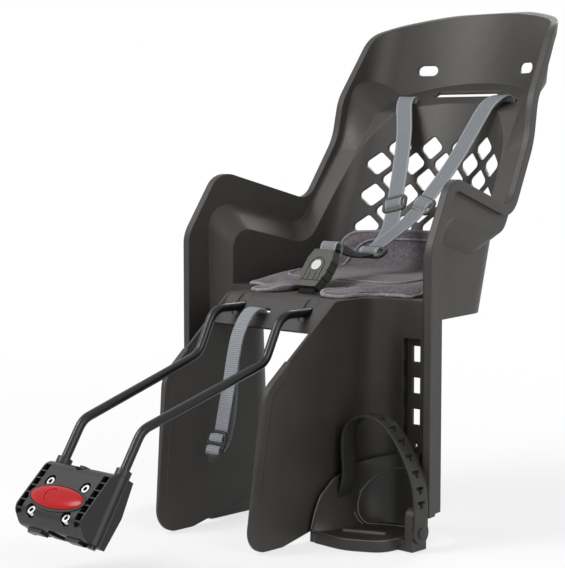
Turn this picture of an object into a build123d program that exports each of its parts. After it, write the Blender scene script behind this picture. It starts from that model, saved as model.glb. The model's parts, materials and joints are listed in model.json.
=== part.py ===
"""Rear child seat for a bicycle, carried by a bent steel rod from a clamp on the seat tube.

The rider's way is -Y, the child's left is +X and +Z is up. Z = 0 is the flat that the leg
guards and footrests stand on. In the drawing Y = 0 is just behind the armrests' front corner;
each piece is moved back along Y when it is written, so that the origin is under the middle.
"""
import os
from math import atan, cos, radians, sin

from build123d import *

os.makedirs("parts", exist_ok=True)

# Clearances
soft_gap = 0.3
slide_gap = 0.4
rod_gap = 0.1
seat_gap = 0.15
fit_gap = 0.05

# Moulded shell: walls and the toed-in side planes
wall = 4.0
rim_half_width = 199.2
toe_slope = 0.16
rim_face_depth = 10.0
side_panel_depth = 40.0
rim_depth = 14.0

# Moulded shell: pan, back and head
pan_height = 286.0
skirt_drop = 27.0
back_foot = 188.0
back_slope = 0.305
back_radius = 220.0
back_corner_radius = 40.0
shelf_height = 516.0
shelf_slope = 0.49
head_level = 548.0
head_back = 318.0
head_slope = 0.22
head_radius = 230.0
head_corner_radius = 60.0
head_top = 652.0

# Moulded shell: side outline of the rim
rim_front = -54.0
rim_foot = 36.0
arm_bend_height = 352.0
arm_front = -4.0
arm_height = 436.0
notch_front = 146.0
notch_height = 393.0
wing_front = 197.0
wing_height = 478.0
temple_front = 207.0
temple_height = 532.0
crown_front = 264.0
crown_height = 622.0
crown_back = 345.0

# Moulded shell: inner panel boundary and the bevel round it
panel_front = -9.0
panel_arm_height = 364.0
panel_notch_front = 116.0
panel_notch_height = 334.0
panel_wing_front = 203.0
panel_wing_height = 463.0
panel_top_front = 241.0
bevel_front = -21.0
bevel_arm_height = 398.0
bevel_notch_front = 133.0
bevel_notch_height = 361.0
bevel_wing_front = 203.0
bevel_wing_height = 470.0
bevel_top_front = 227.0
bevel_top_height = 552.0

# Leg guards and bridge
guard_panel_top = 89.0
guard_panel_foot = 76.0
guard_corner_radius = 38.0
guard_front_top = -87.0
guard_bend = -204.0
guard_bend_height = 189.5
guard_front_foot = -227.0
guard_edge_width = 12.0
guard_toe_radius = 28.0
guard_edge_depth = 12.0
guard_heel = -104.0
guard_heel_front = -166.0
guard_heel_low = 14.0
guard_heel_rise = 22.0
bridge_lip = -121.0
bridge_lip_height = 250.0
bridge_wall = 5.0
bridge_skin = 5.3
rod_relief_length = 38.0
rod_relief_width = 19.0
rod_relief_rise = 9.0
rod_relief_depth = 2.0

# Rack of latch holes in the rear wall of each leg trough
rack_center = 144.0
rack_width = 26.0
rack_depth = 9.0
rack_pitch = 38.5
rack_hole_width = 12.5
rack_hole_height = 19.5
rack_top_hole = 219.0
rack_holes = 3
rack_pin_height = 107.0
rack_pin_diameter = 4.5

# Strap slots, head holes and the diamond lattice
center_slot_length = 106.0
center_slot_front = 280.0
center_slot_width = 16.0
shoulder_slot_place = 84.0
shoulder_slot_front = 262.0
shoulder_slot_length = 31.0
shoulder_slot_width = 9.4
head_hole_place = 84.0
head_hole_height = 573.0
head_hole_length = 28.0
head_hole_width = 14.0
lattice_pitch = 48.0
lattice_rise = 21.6
lattice_top = 465.0
lattice_rows = 7
diamond_half_width = 19.2
diamond_half_height = 17.0
diamond_radius = 6.0

# Carrier rod
rod_diameter = 11.0
rod_height = 271.0
rod_half_gauge = 56.0
rod_clamp_half_gauge = 50.0
rod_cross_bar = 70.0
rod_top_knee = -146.0
rod_mid_knee = -173.0
rod_mid_knee_height = 217.5
rod_low_knee = -361.0
rod_low_knee_height = 161.5
rod_knee_radius = 26.0
rod_tail = 140.0
tube_lean = 32.3

# Rod seat under the pan
saddle_length = 84.0
retainer_length = 104.0
retainer_width = 56.0
retainer_thickness = 5.0
retainer_screw_x = 38.0
retainer_screw_y = 18.0
boss_diameter = 12.0
screw_diameter = 5.0
screw_head_diameter = 10.0
screw_head_height = 3.5
screw_length = 16.0

# Clamp block on the bicycle's seat tube
block_drop = 56.2
block_height = 80.0
block_half_width = 56.0
block_front_top = 17.0
block_front_low = 34.5
block_chin = 14.0
block_rear_top = 14.0
block_rear = 19.0
block_split = 1.0
block_corner_radius = 12.0
block_top_radius = 15.0
block_back_radius = 18.0
tube_bore_radius = 15.0
tube_bore_center = -3.0
sleeve_radius = 9.0
sleeve_rise = 8.0
face_drop = 45.0
bolt_x = 29.5
bolt_spread = 38.5
bolt_diameter = 6.0
bolt_head_diameter = 10.0
bolt_head_height = 5.0
bolt_sink = 5.5
bolt_well_diameter = 15.0
bolt_socket = 5.0
bolt_reach = 38.0
nut_width = 10.0
nut_height = 5.0
pocket_count = 7
pocket_pitch = 10.0
pocket_width = 9.6
pocket_height = 8.4
pocket_depth = 8.0
pocket_edge = 1.8
tab_width = 22.0
tab_depth = 13.0
tab_height = 4.0
tab_place = 32.0
button_length = 86.0
button_width = 29.0
button_stand = 5.0
button_edge = 1.0
button_rim = 2.6
button_rim_height = 1.4
button_depth = 5.0
button_travel = 3.0
button_dish = 19.0
button_dish_place = -8.0
button_dish_depth = 1.4
spring_diameter = 9.0
spring_wire = 1.2
spring_pitch = 2.6

# Footrests
footrest_height = 14.0
footrest_floor = 7.0
footrest_wall = 3.5
footrest_inner = 84.0
footrest_bank_lean = 3.5
footrest_bank_top = 94.0
footrest_bank_edge = 3.0
footrest_bank_foot = 112.0
footrest_slot_length = 48.0
footrest_slot_width = 5.0
footrest_slot_x = 133.0
footrest_slot_y = -115.0
heel_wall_height = 82.0
heel_wall_start = 93.0
heel_wall_end = 152.0
heel_cup_depth = 4.0
heel_cup_low = 1.0
heel_cup_front = -87.0
heel_cup_nose = 24.0
heel_cup_bend = -56.0
heel_cup_bend_height = 50.0
heel_cup_top = 60.0
post_front = -84.0
post_width = 26.0
post_outer = 207.0
post_thickness = 11.0
post_height = 52.0
post_root = 180.0
latch_width = 24.0
latch_height = 100.0

# Foot straps
strap_thickness = 3.0
strap_leave = 90.0
strap_inner_bend_x = 93.0
strap_inner_bend = 122.0
strap_outer_bend_x = 172.0
strap_outer_bend = 134.0
strap_post_rise = 20.0
strap_crown = 151.0
strap_crown_x = 129.0
strap_bend_radius = 30.0
strap_disc_diameter = 24.0
strap_slot_count = 8
strap_slot_length = 11.0
strap_slot_width = 3.0
strap_slot_first = 0.41
strap_slot_step = 0.067
stud_diameter = 12.0
stud_head = 2.5
stud_shank_diameter = 6.0
stud_shank = 9.0
stud_height = 22.0
rivet_height = 74.0

# Cushion
cushion_thickness = 12.0
cushion_half_width = 142.0
cushion_side_taper = 20.0
cushion_front = -66.0
cushion_lobe_width = 80.0
cushion_side_front = -6.0
cushion_gap_half_width = 36.0
cushion_gap_end = -2.0
cushion_corner_radius = 18.0
cushion_back_height = 354.0
cushion_back_half_width = 116.0
cushion_back_thickness = 13.0
cushion_back_radius = 18.0

# Harness
webbing_width = 25.0
webbing_thickness = 1.8
webbing_lift = 1.25
strap_edge_x = 80.0
strap_edge_y = 240.0
strap_edge_rise = 8.0
strap_chest = (56.0, 222.0, 486.0)
strap_high = (43.0, 198.0, 440.0)
strap_low = (19.0, 152.0, 376.0)
strap_meet = (8.0, 132.0, 358.0)
slider_length = 22.0
slider_width = 34.0
slider_thickness = 5.8
slider_window = 12.0
slider_frame = 5.0
slider_share = 0.22
joiner_y = 85.0
joiner_height = 331.0
joiner_rise = 29.4
joiner_width = 46.0
joiner_length = 20.0
joiner_thickness = 8.0
joiner_socket = 12.0
anchor_bar_diameter = 5.0
anchor_bar_length = 44.0
buckle_y = -48.0
buckle_lean = 38.0
buckle_foot = 12.5
buckle_top = 68.0
buckle_foot_width = 28.0
buckle_width = 42.0
buckle_top_width = 32.0
buckle_thickness = 14.0
buckle_socket = 12.0
buckle_button_place = 44.0
buckle_button_diameter = 15.0
buckle_button_stand = 1.0
buckle_button_depth = 4.0
buckle_button_travel = 2.0
buckle_groove = 1.2
buckle_groove_depth = 0.9
buckle_arch_width = 25.0
buckle_arch_foot = 22.0
buckle_rule_length = 13.0
buckle_rule_spread = 5.0
buckle_step = 22.0
buckle_lever_cuts = [26.0, 38.0, 50.0]
buckle_lever_depth = 1.6
crotch_slot_y = -39.0
crotch_slot_length = 31.0
crotch_slot_width = 9.4

# Safety strap
safety_slot_x = -17.0
safety_high = (-161.0, 226.0)
safety_middle = (-173.0, 168.0)
safety_low = (-180.0, 139.0)
safety_end = (-184.0, 112.0)
safety_slot_length = 31.0
safety_slot_width = 9.4
lock_length = 34.0
lock_width = 33.0
lock_thickness = 6.0
lock_share = 0.3

toe = atan(toe_slope)
lean = radians(tube_lean)
below = -40.0
behind = 420.0
above = 720.0
far = 400.0

# The drawing's Y = 0 goes to the middle of the whole length
frame_shift = 51.33
to_middle = Location((0, frame_shift, 0))


def side_plane(side, depth):
    """Plane of the right (+1) or left (-1) side, so far inside the rim's outer face."""
    return Plane(
        origin=(side * (rim_half_width - depth / cos(toe)), 0, 0),
        x_dir=(-side * sin(toe), cos(toe), 0),
        z_dir=(cos(toe), side * sin(toe), 0),
    )


def side_half_width(depth, y):
    """Half width between the two side planes at one place along the seat."""
    return rim_half_width - depth / cos(toe) - y * toe_slope


rim_outline = [
    (rim_front, 2 * below),
    (rim_front, arm_bend_height),
    (arm_front, arm_height),
    (notch_front, notch_height),
    (wing_front, wing_height),
    (temple_front, temple_height),
    (crown_front, crown_height),
    (crown_back, head_top),
    (2 * behind, head_top + 12),
    (2 * behind, 2 * below),
]
rim_radii = [0, 45, 30, 24, 90, 70, 60, 40, 0, 0]
shelf_back_height = shelf_height + shelf_slope * (behind - panel_top_front)
panel_outline = [
    (panel_front, below),
    (panel_front, panel_arm_height),
    (panel_notch_front, panel_notch_height),
    (panel_wing_front, panel_wing_height),
    (panel_top_front, shelf_height),
    (behind, shelf_back_height),
    (behind, below),
]
panel_radii = [0, 24, 32, 90, 16, 0, 0]
bevel_outline = [
    (bevel_front, below),
    (bevel_front, bevel_arm_height),
    (bevel_notch_front, bevel_notch_height),
    (bevel_wing_front, bevel_wing_height),
    (bevel_top_front, bevel_top_height),
    (behind, shelf_back_height + 2),
    (behind, below),
]
bevel_radii = [0, 30, 26, 60, 20, 0, 0]


def between_sides(depth, front, low):
    """Block between the side planes, open to the front."""
    with BuildPart() as block:
        with BuildSketch(Plane.XY.offset(low)):
            with BuildLine():
                Polyline(
                    (side_half_width(depth, front), front),
                    (side_half_width(depth, behind), behind),
                    (-side_half_width(depth, behind), behind),
                    (-side_half_width(depth, front), front),
                    close=True,
                )
            make_face()
        extrude(amount=above - low)
    return block.part


def before_back(radius, back_at_zero, slope):
    """All that lies in front of a hollow back that leans away."""
    with BuildPart() as space:
        with BuildSketch(Plane.XY.offset(below)):
            with Locations((0, back_at_zero + below * slope - radius)):
                Circle(radius)
                Rectangle(2 * far, 2 * far, align=(Align.CENTER, Align.MAX))
        way = Vector(0, slope, 1)
        extrude(amount=(above - below) * way.length, dir=way)
    return space.part


def panel_pad(grow):
    """Raised pad of the inner panel, with its bevel, that narrows the child's room."""
    layers = [
        (-1, bevel_outline, bevel_radii, rim_face_depth),
        (-1, panel_outline, panel_radii, side_panel_depth),
        (1, panel_outline, panel_radii, side_panel_depth),
        (1, bevel_outline, bevel_radii, rim_face_depth),
    ]
    with BuildPart() as pad:
        for side, points, radii, depth in layers:
            with BuildSketch(side_plane(side, depth - grow)):
                with BuildLine():
                    FilletPolyline([(y / cos(toe), z) for y, z in points], radius=radii, close=True)
                make_face()
                if grow > 0:
                    offset(amount=-grow, mode=Mode.REPLACE)
        loft(ruled=True)
    return pad.part


def tub_space(grow, front, low):
    """The part of the child's room between the inner panels."""
    with BuildPart() as tub:
        add(between_sides(side_panel_depth - grow, front, low))
        back_at_zero = back_foot - pan_height * back_slope
        add(before_back(back_radius + grow, back_at_zero + grow, back_slope), mode=Mode.INTERSECT)
        tall = tub.edges().filter_by(lambda e: e.bounding_box().size.Z > 200 and e.center().Y > 100)
        fillet(tall.filter_by(lambda e: abs(e.center().X) > 80), radius=back_corner_radius + grow)
    return tub.part


def rim_space(grow):
    """The room between the rims and in front of the head's hollow."""
    with BuildPart() as space:
        add(between_sides(rim_face_depth - grow, rim_front - 2 * rim_depth, below))
        head_at_zero = head_back - head_level * head_slope
        add(before_back(head_radius + grow, head_at_zero + grow, head_slope), mode=Mode.INTERSECT)
        tall = space.edges().filter_by(lambda e: e.bounding_box().size.Z > 200 and e.center().Y > 100)
        fillet(tall.filter_by(lambda e: abs(e.center().X) > 80), radius=head_corner_radius + grow)
    return space.part


def child_space(grow, floor):
    """The room for the child between the walls, grown outward by a wall thickness."""
    with BuildPart() as space:
        add(rim_space(grow))
        add(panel_pad(grow), mode=Mode.SUBTRACT)
        add(tub_space(grow, panel_front, floor))
    return space.part


def side_prism(points, radii, inset):
    """Prism across the whole width from an outline seen from the side, or the band inside it."""
    with BuildPart() as prism:
        with BuildSketch(Plane.YZ):
            with BuildLine():
                FilletPolyline(points, radius=radii, close=True)
            make_face()
            if inset > 0:
                offset(amount=-inset, mode=Mode.SUBTRACT)
        extrude(amount=far, both=True)
    return prism.part


guard_outline = [
    (behind, pan_height),
    (guard_front_top, pan_height),
    (guard_bend, guard_bend_height),
    (guard_front_foot, 0),
    (guard_heel_front, 0),
    (guard_heel, guard_heel_low),
    (guard_heel + wall, guard_heel_rise),
    (behind, guard_heel_rise),
]
guard_radii = [0, 12, 34, guard_toe_radius, 30, 3, 3, 0]
trough_rear = panel_front + wall / 2


def guard_wall(panel_x):
    """Middle line of a leg guard's wall in plan: inner panel, rounded corner, rear wall."""
    with BuildLine() as middle:
        FilletPolyline(
            (panel_x, guard_front_foot - 10),
            (panel_x, trough_rear),
            (side_half_width(side_panel_depth - wall / 2, trough_rear), trough_rear),
            radius=guard_corner_radius,
        )
    return middle.line


def guard_panel_x(height):
    """Middle of a leaning inner panel at one height."""
    return guard_panel_foot + (guard_panel_top - guard_panel_foot) * height / pan_height


guard_levels = [
    (below, guard_panel_x(below), wall / 2),
    (pan_height - below, guard_panel_x(pan_height - below), guard_edge_width),
]
# thickened front edge that runs out to the wall's own thickness at the foot
with BuildPart() as guard_edge:
    for height, panel_x, width in guard_levels:
        with BuildSketch(Plane.XY.offset(height)):
            with Locations((panel_x, 0)):
                Rectangle(width, far, align=(Align.CENTER, Align.MAX))
    loft(ruled=True)
    add(side_prism(guard_outline, guard_radii, guard_edge_depth), mode=Mode.INTERSECT)
    with BuildSketch(Plane.YZ):
        with Locations((guard_heel_front, 0)):
            Rectangle(far, far, align=(Align.MAX, Align.MIN))
    extrude(amount=far, both=True, mode=Mode.INTERSECT)

with BuildPart() as guard:
    for height, panel_x, _ in guard_levels:
        with BuildSketch(Plane.XY.offset(height)):
            trace(guard_wall(panel_x), line_width=wall)
    loft(ruled=True)
    with BuildSketch(Plane.XY.offset(below)):
        with Locations((rack_center, trough_rear)):
            Rectangle(rack_width + 2 * wall, rack_depth + wall / 2, align=(Align.CENTER, Align.MIN))
    extrude(amount=pan_height - below)
    add(side_prism(guard_outline, guard_radii, 0), mode=Mode.INTERSECT)
    add(guard_edge.part)

with BuildPart() as rim:
    add(rim_space(rim_face_depth))
    add(side_prism(rim_outline, rim_radii, rim_depth), mode=Mode.INTERSECT)

with BuildPart() as bridge:
    with BuildSketch(Plane.YZ):
        with BuildLine():
            FilletPolyline(
                (panel_front + wall, pan_height),
                (guard_front_top, pan_height),
                (bridge_lip, bridge_lip_height),
                (bridge_lip + bridge_wall, bridge_lip_height - bridge_wall / 2),
                (guard_front_top + bridge_wall / 2, pan_height - bridge_wall),
                (panel_front + wall, pan_height - bridge_wall),
                radius=[0, 12, 1, 1, 8, 0],
                close=True,
            )
        make_face()
    extrude(amount=guard_panel_top, both=True)

skirt_height = pan_height - skirt_drop
trough_inner_edge = guard_panel_top + guard_corner_radius
pan_under = pan_height - wall
rod_radius = rod_diameter / 2
retainer_top = rod_height - rod_radius - seat_gap
screw_places = [
    (side * retainer_screw_x, rod_cross_bar + row * retainer_screw_y) for side in (-1, 1) for row in (-1, 1)
]
bridge_face = Plane(
    origin=(0, (guard_front_top + bridge_lip) / 2, (pan_height + bridge_lip_height) / 2),
    x_dir=(1, 0, 0),
    z_dir=Vector(0, bridge_lip_height - pan_height, guard_front_top - bridge_lip),
)

with BuildPart() as hollow:
    add(tub_space(0, panel_front + wall, skirt_height - 1))
    with BuildSketch(Plane.XY.offset(pan_under)):
        Rectangle(2 * far, 2 * far)
    extrude(amount=-far, mode=Mode.INTERSECT)

with BuildPart() as seat_shell:
    add(child_space(wall, skirt_height))
    add(side_prism(rim_outline, rim_radii, 0), mode=Mode.INTERSECT)
    add(rim.part)
    add(child_space(0, pan_height), mode=Mode.SUBTRACT)
    # the trough walls stop at the rim's foot and leave the wheel's gap free
    with BuildSketch(Plane.XY.offset(rim_foot)):
        Rectangle(2 * far, 2 * far)
    extrude(amount=-far, mode=Mode.SUBTRACT)
    with BuildSketch(Plane.XY.offset(pan_under)):
        with Locations((0, panel_front + wall)):
            Rectangle(2 * trough_inner_edge, far, align=(Align.CENTER, Align.MAX))
    extrude(amount=-far, mode=Mode.SUBTRACT)
    add(hollow.part, mode=Mode.SUBTRACT)
    add(guard.part)
    add(mirror(guard.part, about=Plane.YZ, mode=Mode.PRIVATE))
    add(bridge.part)
    # deck that fills the pan's front corners behind the rounded leg troughs
    for side in (-1, 1):
        with BuildSketch(Plane.XY.offset(pan_height)):
            with Locations((side * guard_panel_top, trough_rear + wall)):
                deck_side = Align.MIN if side > 0 else Align.MAX
                Rectangle(guard_corner_radius, guard_corner_radius + wall, align=(deck_side, Align.MAX))
            with Locations((side * trough_inner_edge, trough_rear - guard_corner_radius)):
                Circle(guard_corner_radius - wall / 2, mode=Mode.SUBTRACT)
        extrude(amount=-bridge_wall)
    with BuildSketch(Plane.XY.offset(pan_height)):
        with Locations((0, crotch_slot_y)):
            SlotOverall(crotch_slot_length, crotch_slot_width)
    extrude(amount=-2 * bridge_wall, mode=Mode.SUBTRACT)
    # rack channel and its holes in the rear wall of each leg trough
    rack_floor = panel_front + rack_depth
    with BuildSketch(Plane.XY.offset(below)):
        with Locations((-rack_center, rack_floor), (rack_center, rack_floor)):
            Rectangle(rack_width, rack_depth + 2 * wall, align=(Align.CENTER, Align.MAX))
    extrude(amount=rack_top_hole + rack_pitch / 2 - below, mode=Mode.SUBTRACT)
    with BuildSketch(Plane.XZ.offset(-rack_floor)):
        with Locations((-rack_center, 0), (rack_center, 0)):
            for row in range(rack_holes):
                with Locations((0, rack_top_hole - row * rack_pitch)):
                    Rectangle(rack_hole_width, rack_hole_height)
            with Locations((0, rack_pin_height)):
                Circle(rack_pin_diameter / 2)
    extrude(amount=-rack_depth, mode=Mode.SUBTRACT)
    # diamond lattice in the back
    with BuildSketch(Plane.XZ):
        for row in range(lattice_rows):
            columns = 5 if row % 2 else 4
            with Locations((0, lattice_top - row * lattice_rise)):
                with GridLocations(lattice_pitch, 1, columns, 1):
                    with BuildSketch(mode=Mode.PRIVATE) as diamond:
                        with BuildLine():
                            FilletPolyline(
                                (diamond_half_width, 0),
                                (0, diamond_half_height),
                                (-diamond_half_width, 0),
                                (0, -diamond_half_height),
                                radius=diamond_radius,
                                close=True,
                            )
                        make_face()
                    add(diamond.sketch)
    extrude(amount=-behind, mode=Mode.SUBTRACT)
    # holes in the head, and strap slots in the shelf below it
    with BuildSketch(Plane.XZ):
        with Locations((-head_hole_place, head_hole_height), (head_hole_place, head_hole_height)):
            SlotOverall(head_hole_length, head_hole_width)
    extrude(amount=-behind, mode=Mode.SUBTRACT)
    with BuildSketch(Plane.XY.offset(shelf_height - wall)):
        with Locations((0, center_slot_front)):
            Rectangle(center_slot_length, center_slot_width, align=(Align.CENTER, Align.MIN))
        for side in (-1, 1):
            with Locations((side * shoulder_slot_place, shoulder_slot_front)):
                Rectangle(shoulder_slot_length, shoulder_slot_width, align=(Align.CENTER, Align.MIN))
    extrude(amount=head_level - shelf_height, mode=Mode.SUBTRACT)
    # long relief round each rod's entry, rod holes and the safety strap's slot in the bridge
    with BuildSketch(bridge_face):
        with Locations((-rod_half_gauge, rod_relief_rise), (rod_half_gauge, rod_relief_rise)):
            SlotOverall(rod_relief_length, rod_relief_width, rotation=90)
    extrude(amount=-rod_relief_depth, mode=Mode.SUBTRACT)
    with BuildSketch(Plane.XZ.offset(-guard_front_top)):
        with Locations((-rod_half_gauge, rod_height), (rod_half_gauge, rod_height)):
            Circle(rod_radius + rod_gap)
    extrude(amount=guard_front_top - 2 * bridge_lip, mode=Mode.SUBTRACT)
    with BuildSketch(bridge_face):
        with Locations((safety_slot_x, 0)):
            SlotOverall(safety_slot_length, safety_slot_width)
    extrude(amount=2 * bridge_wall, both=True, mode=Mode.SUBTRACT)
    # saddle for the rod's cross bar, and bosses for its retainer
    with BuildSketch(Plane.XY.offset(pan_height - wall / 2)):
        with Locations((0, rod_cross_bar)):
            Rectangle(saddle_length, rod_diameter)
    extrude(amount=rod_height + rod_radius + seat_gap - pan_height + wall / 2)
    with BuildSketch(Plane.XY.offset(pan_height - wall / 2)):
        with Locations(*screw_places):
            Circle(boss_diameter / 2)
    extrude(amount=retainer_top - pan_height + wall / 2)
    with BuildSketch(Plane.XY.offset(retainer_top)):
        with Locations(*screw_places):
            Circle(screw_diameter / 2)
    extrude(amount=screw_length - retainer_thickness + seat_gap, mode=Mode.SUBTRACT)

seat_shell.part.label = "seat_shell"
export_step(seat_shell.part.moved(to_middle), "parts/seat_shell.step")


# Carrier rod: one steel bar bent to a fork, its cross bar under the pan
rod_way = Vector(0, sin(lean), cos(lean))
rod_knee = Vector(rod_clamp_half_gauge, rod_low_knee, rod_low_knee_height)
rod_leg = [
    rod_knee - rod_way * rod_tail,
    rod_knee,
    Vector(rod_half_gauge, rod_mid_knee, rod_mid_knee_height),
    Vector(rod_half_gauge, rod_top_knee, rod_height),
    Vector(rod_half_gauge, rod_cross_bar, rod_height),
]
rod_points = rod_leg + [Vector(-v.X, v.Y, v.Z) for v in reversed(rod_leg)]

with BuildPart() as carrier_rod:
    with BuildLine() as rod_path:
        FilletPolyline(rod_points, radius=rod_knee_radius)
    with BuildSketch(Plane(origin=rod_path.line @ 0, z_dir=rod_path.line % 0)):
        Circle(rod_radius)
    sweep()

carrier_rod.part.label = "carrier_rod"
export_step(carrier_rod.part.moved(to_middle), "parts/carrier_rod.step")

with BuildPart() as rod_retainer:
    with BuildSketch(Plane.XY.offset(retainer_top)):
        with Locations((0, rod_cross_bar)):
            RectangleRounded(retainer_length, retainer_width, boss_diameter / 2)
    extrude(amount=-retainer_thickness)
    with BuildSketch(Plane.XY.offset(retainer_top)):
        with Locations(*screw_places):
            Circle(screw_diameter / 2 + rod_gap)
    extrude(amount=-retainer_thickness, mode=Mode.SUBTRACT)

rod_retainer.part.label = "rod_retainer"
export_step(rod_retainer.part.moved(to_middle), "parts/rod_retainer.step")

with BuildPart() as retainer_screws:
    with BuildSketch(Plane.XY.offset(retainer_top - retainer_thickness)):
        with Locations(*screw_places):
            Circle(screw_head_diameter / 2)
    extrude(amount=-screw_head_height)
    with BuildSketch(Plane.XY.offset(retainer_top - retainer_thickness)):
        with Locations(*screw_places):
            Circle(screw_diameter / 2 - rod_gap / 2)
    extrude(amount=screw_length)

retainer_screws.part.label = "retainer_screws"
export_step(retainer_screws.part.moved(to_middle), "parts/retainer_screws.step")

# Clamp block: two moulded halves round the seat tube and the rod's two ends
block_origin = Vector(0, rod_low_knee, rod_low_knee_height) - rod_way * block_drop
block_plane = Plane(origin=block_origin, x_dir=(1, 0, 0), z_dir=rod_way)
block_side = Plane(origin=block_origin, x_dir=block_plane.y_dir, z_dir=(1, 0, 0))
chin_height = block_height - block_chin
face_slope = (block_front_low - block_front_top) / chin_height
face_way = (rod_way + block_plane.y_dir * face_slope).normalized()
face_reach = block_front_top + face_slope * face_drop
block_face = Plane(
    origin=block_origin - rod_way * face_drop - block_plane.y_dir * face_reach,
    x_dir=(1, 0, 0),
    z_dir=Vector(1, 0, 0).cross(face_way),
)
bolt_places = [(side * bolt_x, row * bolt_spread / 2) for side in (-1, 1) for row in (-1, 1)]
spring_place = bolt_x - bolt_head_diameter / 2
bolt_seat = bolt_head_height + bolt_sink
button_floor = button_depth + button_travel + soft_gap
split = block_split / 2
front_profile = [
    (-split, 0),
    (-block_front_top, 0),
    (-block_front_low, -chin_height),
    (-block_front_top, -block_height),
    (-split, -block_height),
]
rear_profile = [
    (split, 0),
    (block_rear_top, 0),
    (block_rear, -block_height / 2),
    (block_rear_top, -block_height),
    (split, -block_height),
]


def block_half(profile, radii, kept):
    """One half of the clamp: its body, rod sleeves, tube bore, rod bores and bolt holes."""
    with BuildPart() as half:
        with BuildSketch(block_side):
            with BuildLine():
                FilletPolyline(profile, radius=radii, close=True)
            make_face()
        extrude(amount=block_half_width, both=True)
        with BuildSketch(block_plane):
            with Locations((-rod_clamp_half_gauge, 0), (rod_clamp_half_gauge, 0)):
                Circle(sleeve_radius)
            with Locations((0, kept * split)):
                beyond = (Align.CENTER, Align.MIN if kept < 0 else Align.MAX)
                Rectangle(far, far, align=beyond, mode=Mode.SUBTRACT)
        extrude(amount=-block_height)
        with BuildSketch(block_plane.offset(sleeve_rise)):
            with Locations((0, tube_bore_center)):
                Circle(tube_bore_radius)
            with Locations((-rod_clamp_half_gauge, 0), (rod_clamp_half_gauge, 0)):
                Circle(rod_radius + rod_gap)
        extrude(amount=-block_height - 2 * sleeve_rise, mode=Mode.SUBTRACT)
        with BuildSketch(block_face):
            with Locations(*bolt_places):
                Circle(bolt_diameter / 2 + seat_gap)
        extrude(amount=far, both=True, mode=Mode.SUBTRACT)
    return half.part


with BuildPart() as block_front_half:
    add(block_half(front_profile, [0, block_top_radius, block_corner_radius, block_corner_radius, 0], -1))
    with BuildSketch(block_face):
        with Locations(*bolt_places):
            Circle(bolt_well_diameter / 2)
    extrude(amount=far, mode=Mode.SUBTRACT)
    with BuildSketch(block_face):
        with Locations(*bolt_places):
            Circle(bolt_well_diameter / 2)
    extrude(amount=-bolt_seat, mode=Mode.SUBTRACT)
    with BuildSketch(block_face):
        rim_gap = slide_gap + button_rim
        Ellipse(button_length / 2 + rim_gap, button_width / 2 + rim_gap)
    extrude(amount=button_rim_height)
    with BuildSketch(block_face.offset(button_rim_height)):
        Ellipse(button_length / 2 + slide_gap, button_width / 2 + slide_gap)
    extrude(amount=-button_floor - button_rim_height, mode=Mode.SUBTRACT)
    with BuildSketch(block_face.offset(-button_floor)):
        with Locations((-spring_place, 0), (spring_place, 0)):
            Circle(spring_diameter / 2 + slide_gap)
    extrude(amount=-spring_diameter, mode=Mode.SUBTRACT)
    pocket_x = block_half_width - pocket_edge - pocket_width / 2
    with BuildSketch(block_face):
        with Locations((-pocket_x, face_drop - block_height / 2), (pocket_x, face_drop - block_height / 2)):
            with GridLocations(1, pocket_pitch, 1, pocket_count):
                Rectangle(pocket_width, pocket_height)
    extrude(amount=-pocket_depth, mode=Mode.SUBTRACT)
    with BuildSketch(block_plane.offset(-block_height)):
        with Locations((-tab_place, -split), (tab_place, -split)):
            Rectangle(tab_width, tab_depth, align=(Align.CENTER, Align.MAX))
    extrude(amount=-tab_height)

block_front_half.part.label = "block_front_half"
export_step(block_front_half.part.moved(to_middle), "parts/block_front_half.step")

with BuildPart() as block_rear_half:
    add(block_half(rear_profile, [0, split, block_back_radius, split, 0], 1))
    with BuildSketch(block_plane):
        with Locations((-rod_clamp_half_gauge, 0), (rod_clamp_half_gauge, 0)):
            Circle(sleeve_radius)
            Circle(rod_radius + rod_gap, mode=Mode.SUBTRACT)
    extrude(amount=sleeve_rise)
    with BuildSketch(block_plane):
        with Locations((-tab_width / 2, split)):
            Rectangle(tab_width, tab_depth / 2, align=(Align.CENTER, Align.MIN))
        with Locations((0, tube_bore_center)):
            Circle(tube_bore_radius, mode=Mode.SUBTRACT)
    extrude(amount=tab_height)
    with BuildSketch(block_face.offset(-bolt_reach)):
        with Locations(*bolt_places):
            RegularPolygon(nut_width / 2 + seat_gap, 6, major_radius=False)
    extrude(amount=-far, mode=Mode.SUBTRACT)

block_rear_half.part.label = "block_rear_half"
export_step(block_rear_half.part.moved(to_middle), "parts/block_rear_half.step")

with BuildPart() as clamp_bolts:
    with BuildSketch(block_face.offset(-bolt_seat)):
        with Locations(*bolt_places):
            Circle(bolt_head_diameter / 2)
    extrude(amount=bolt_head_height)
    with BuildSketch(block_face.offset(-bolt_seat)):
        with Locations(*bolt_places):
            Circle(bolt_diameter / 2)
    extrude(amount=bolt_seat - bolt_reach - nut_height)
    with BuildSketch(block_face.offset(-bolt_sink)):
        with Locations(*bolt_places):
            RegularPolygon(bolt_socket / 2, 6, major_radius=False)
    extrude(amount=-bolt_socket / 2, mode=Mode.SUBTRACT)

clamp_bolts.part.label = "clamp_bolts"
export_step(clamp_bolts.part.moved(to_middle), "parts/clamp_bolts.step")

with BuildPart() as clamp_nuts:
    with BuildSketch(block_face.offset(-bolt_reach)):
        with Locations(*bolt_places):
            RegularPolygon(nut_width / 2, 6, major_radius=False)
            Circle(bolt_diameter / 2 + fit_gap, mode=Mode.SUBTRACT)
    extrude(amount=-nut_height)

clamp_nuts.part.label = "clamp_nuts"
export_step(clamp_nuts.part.moved(to_middle), "parts/clamp_nuts.step")

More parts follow.
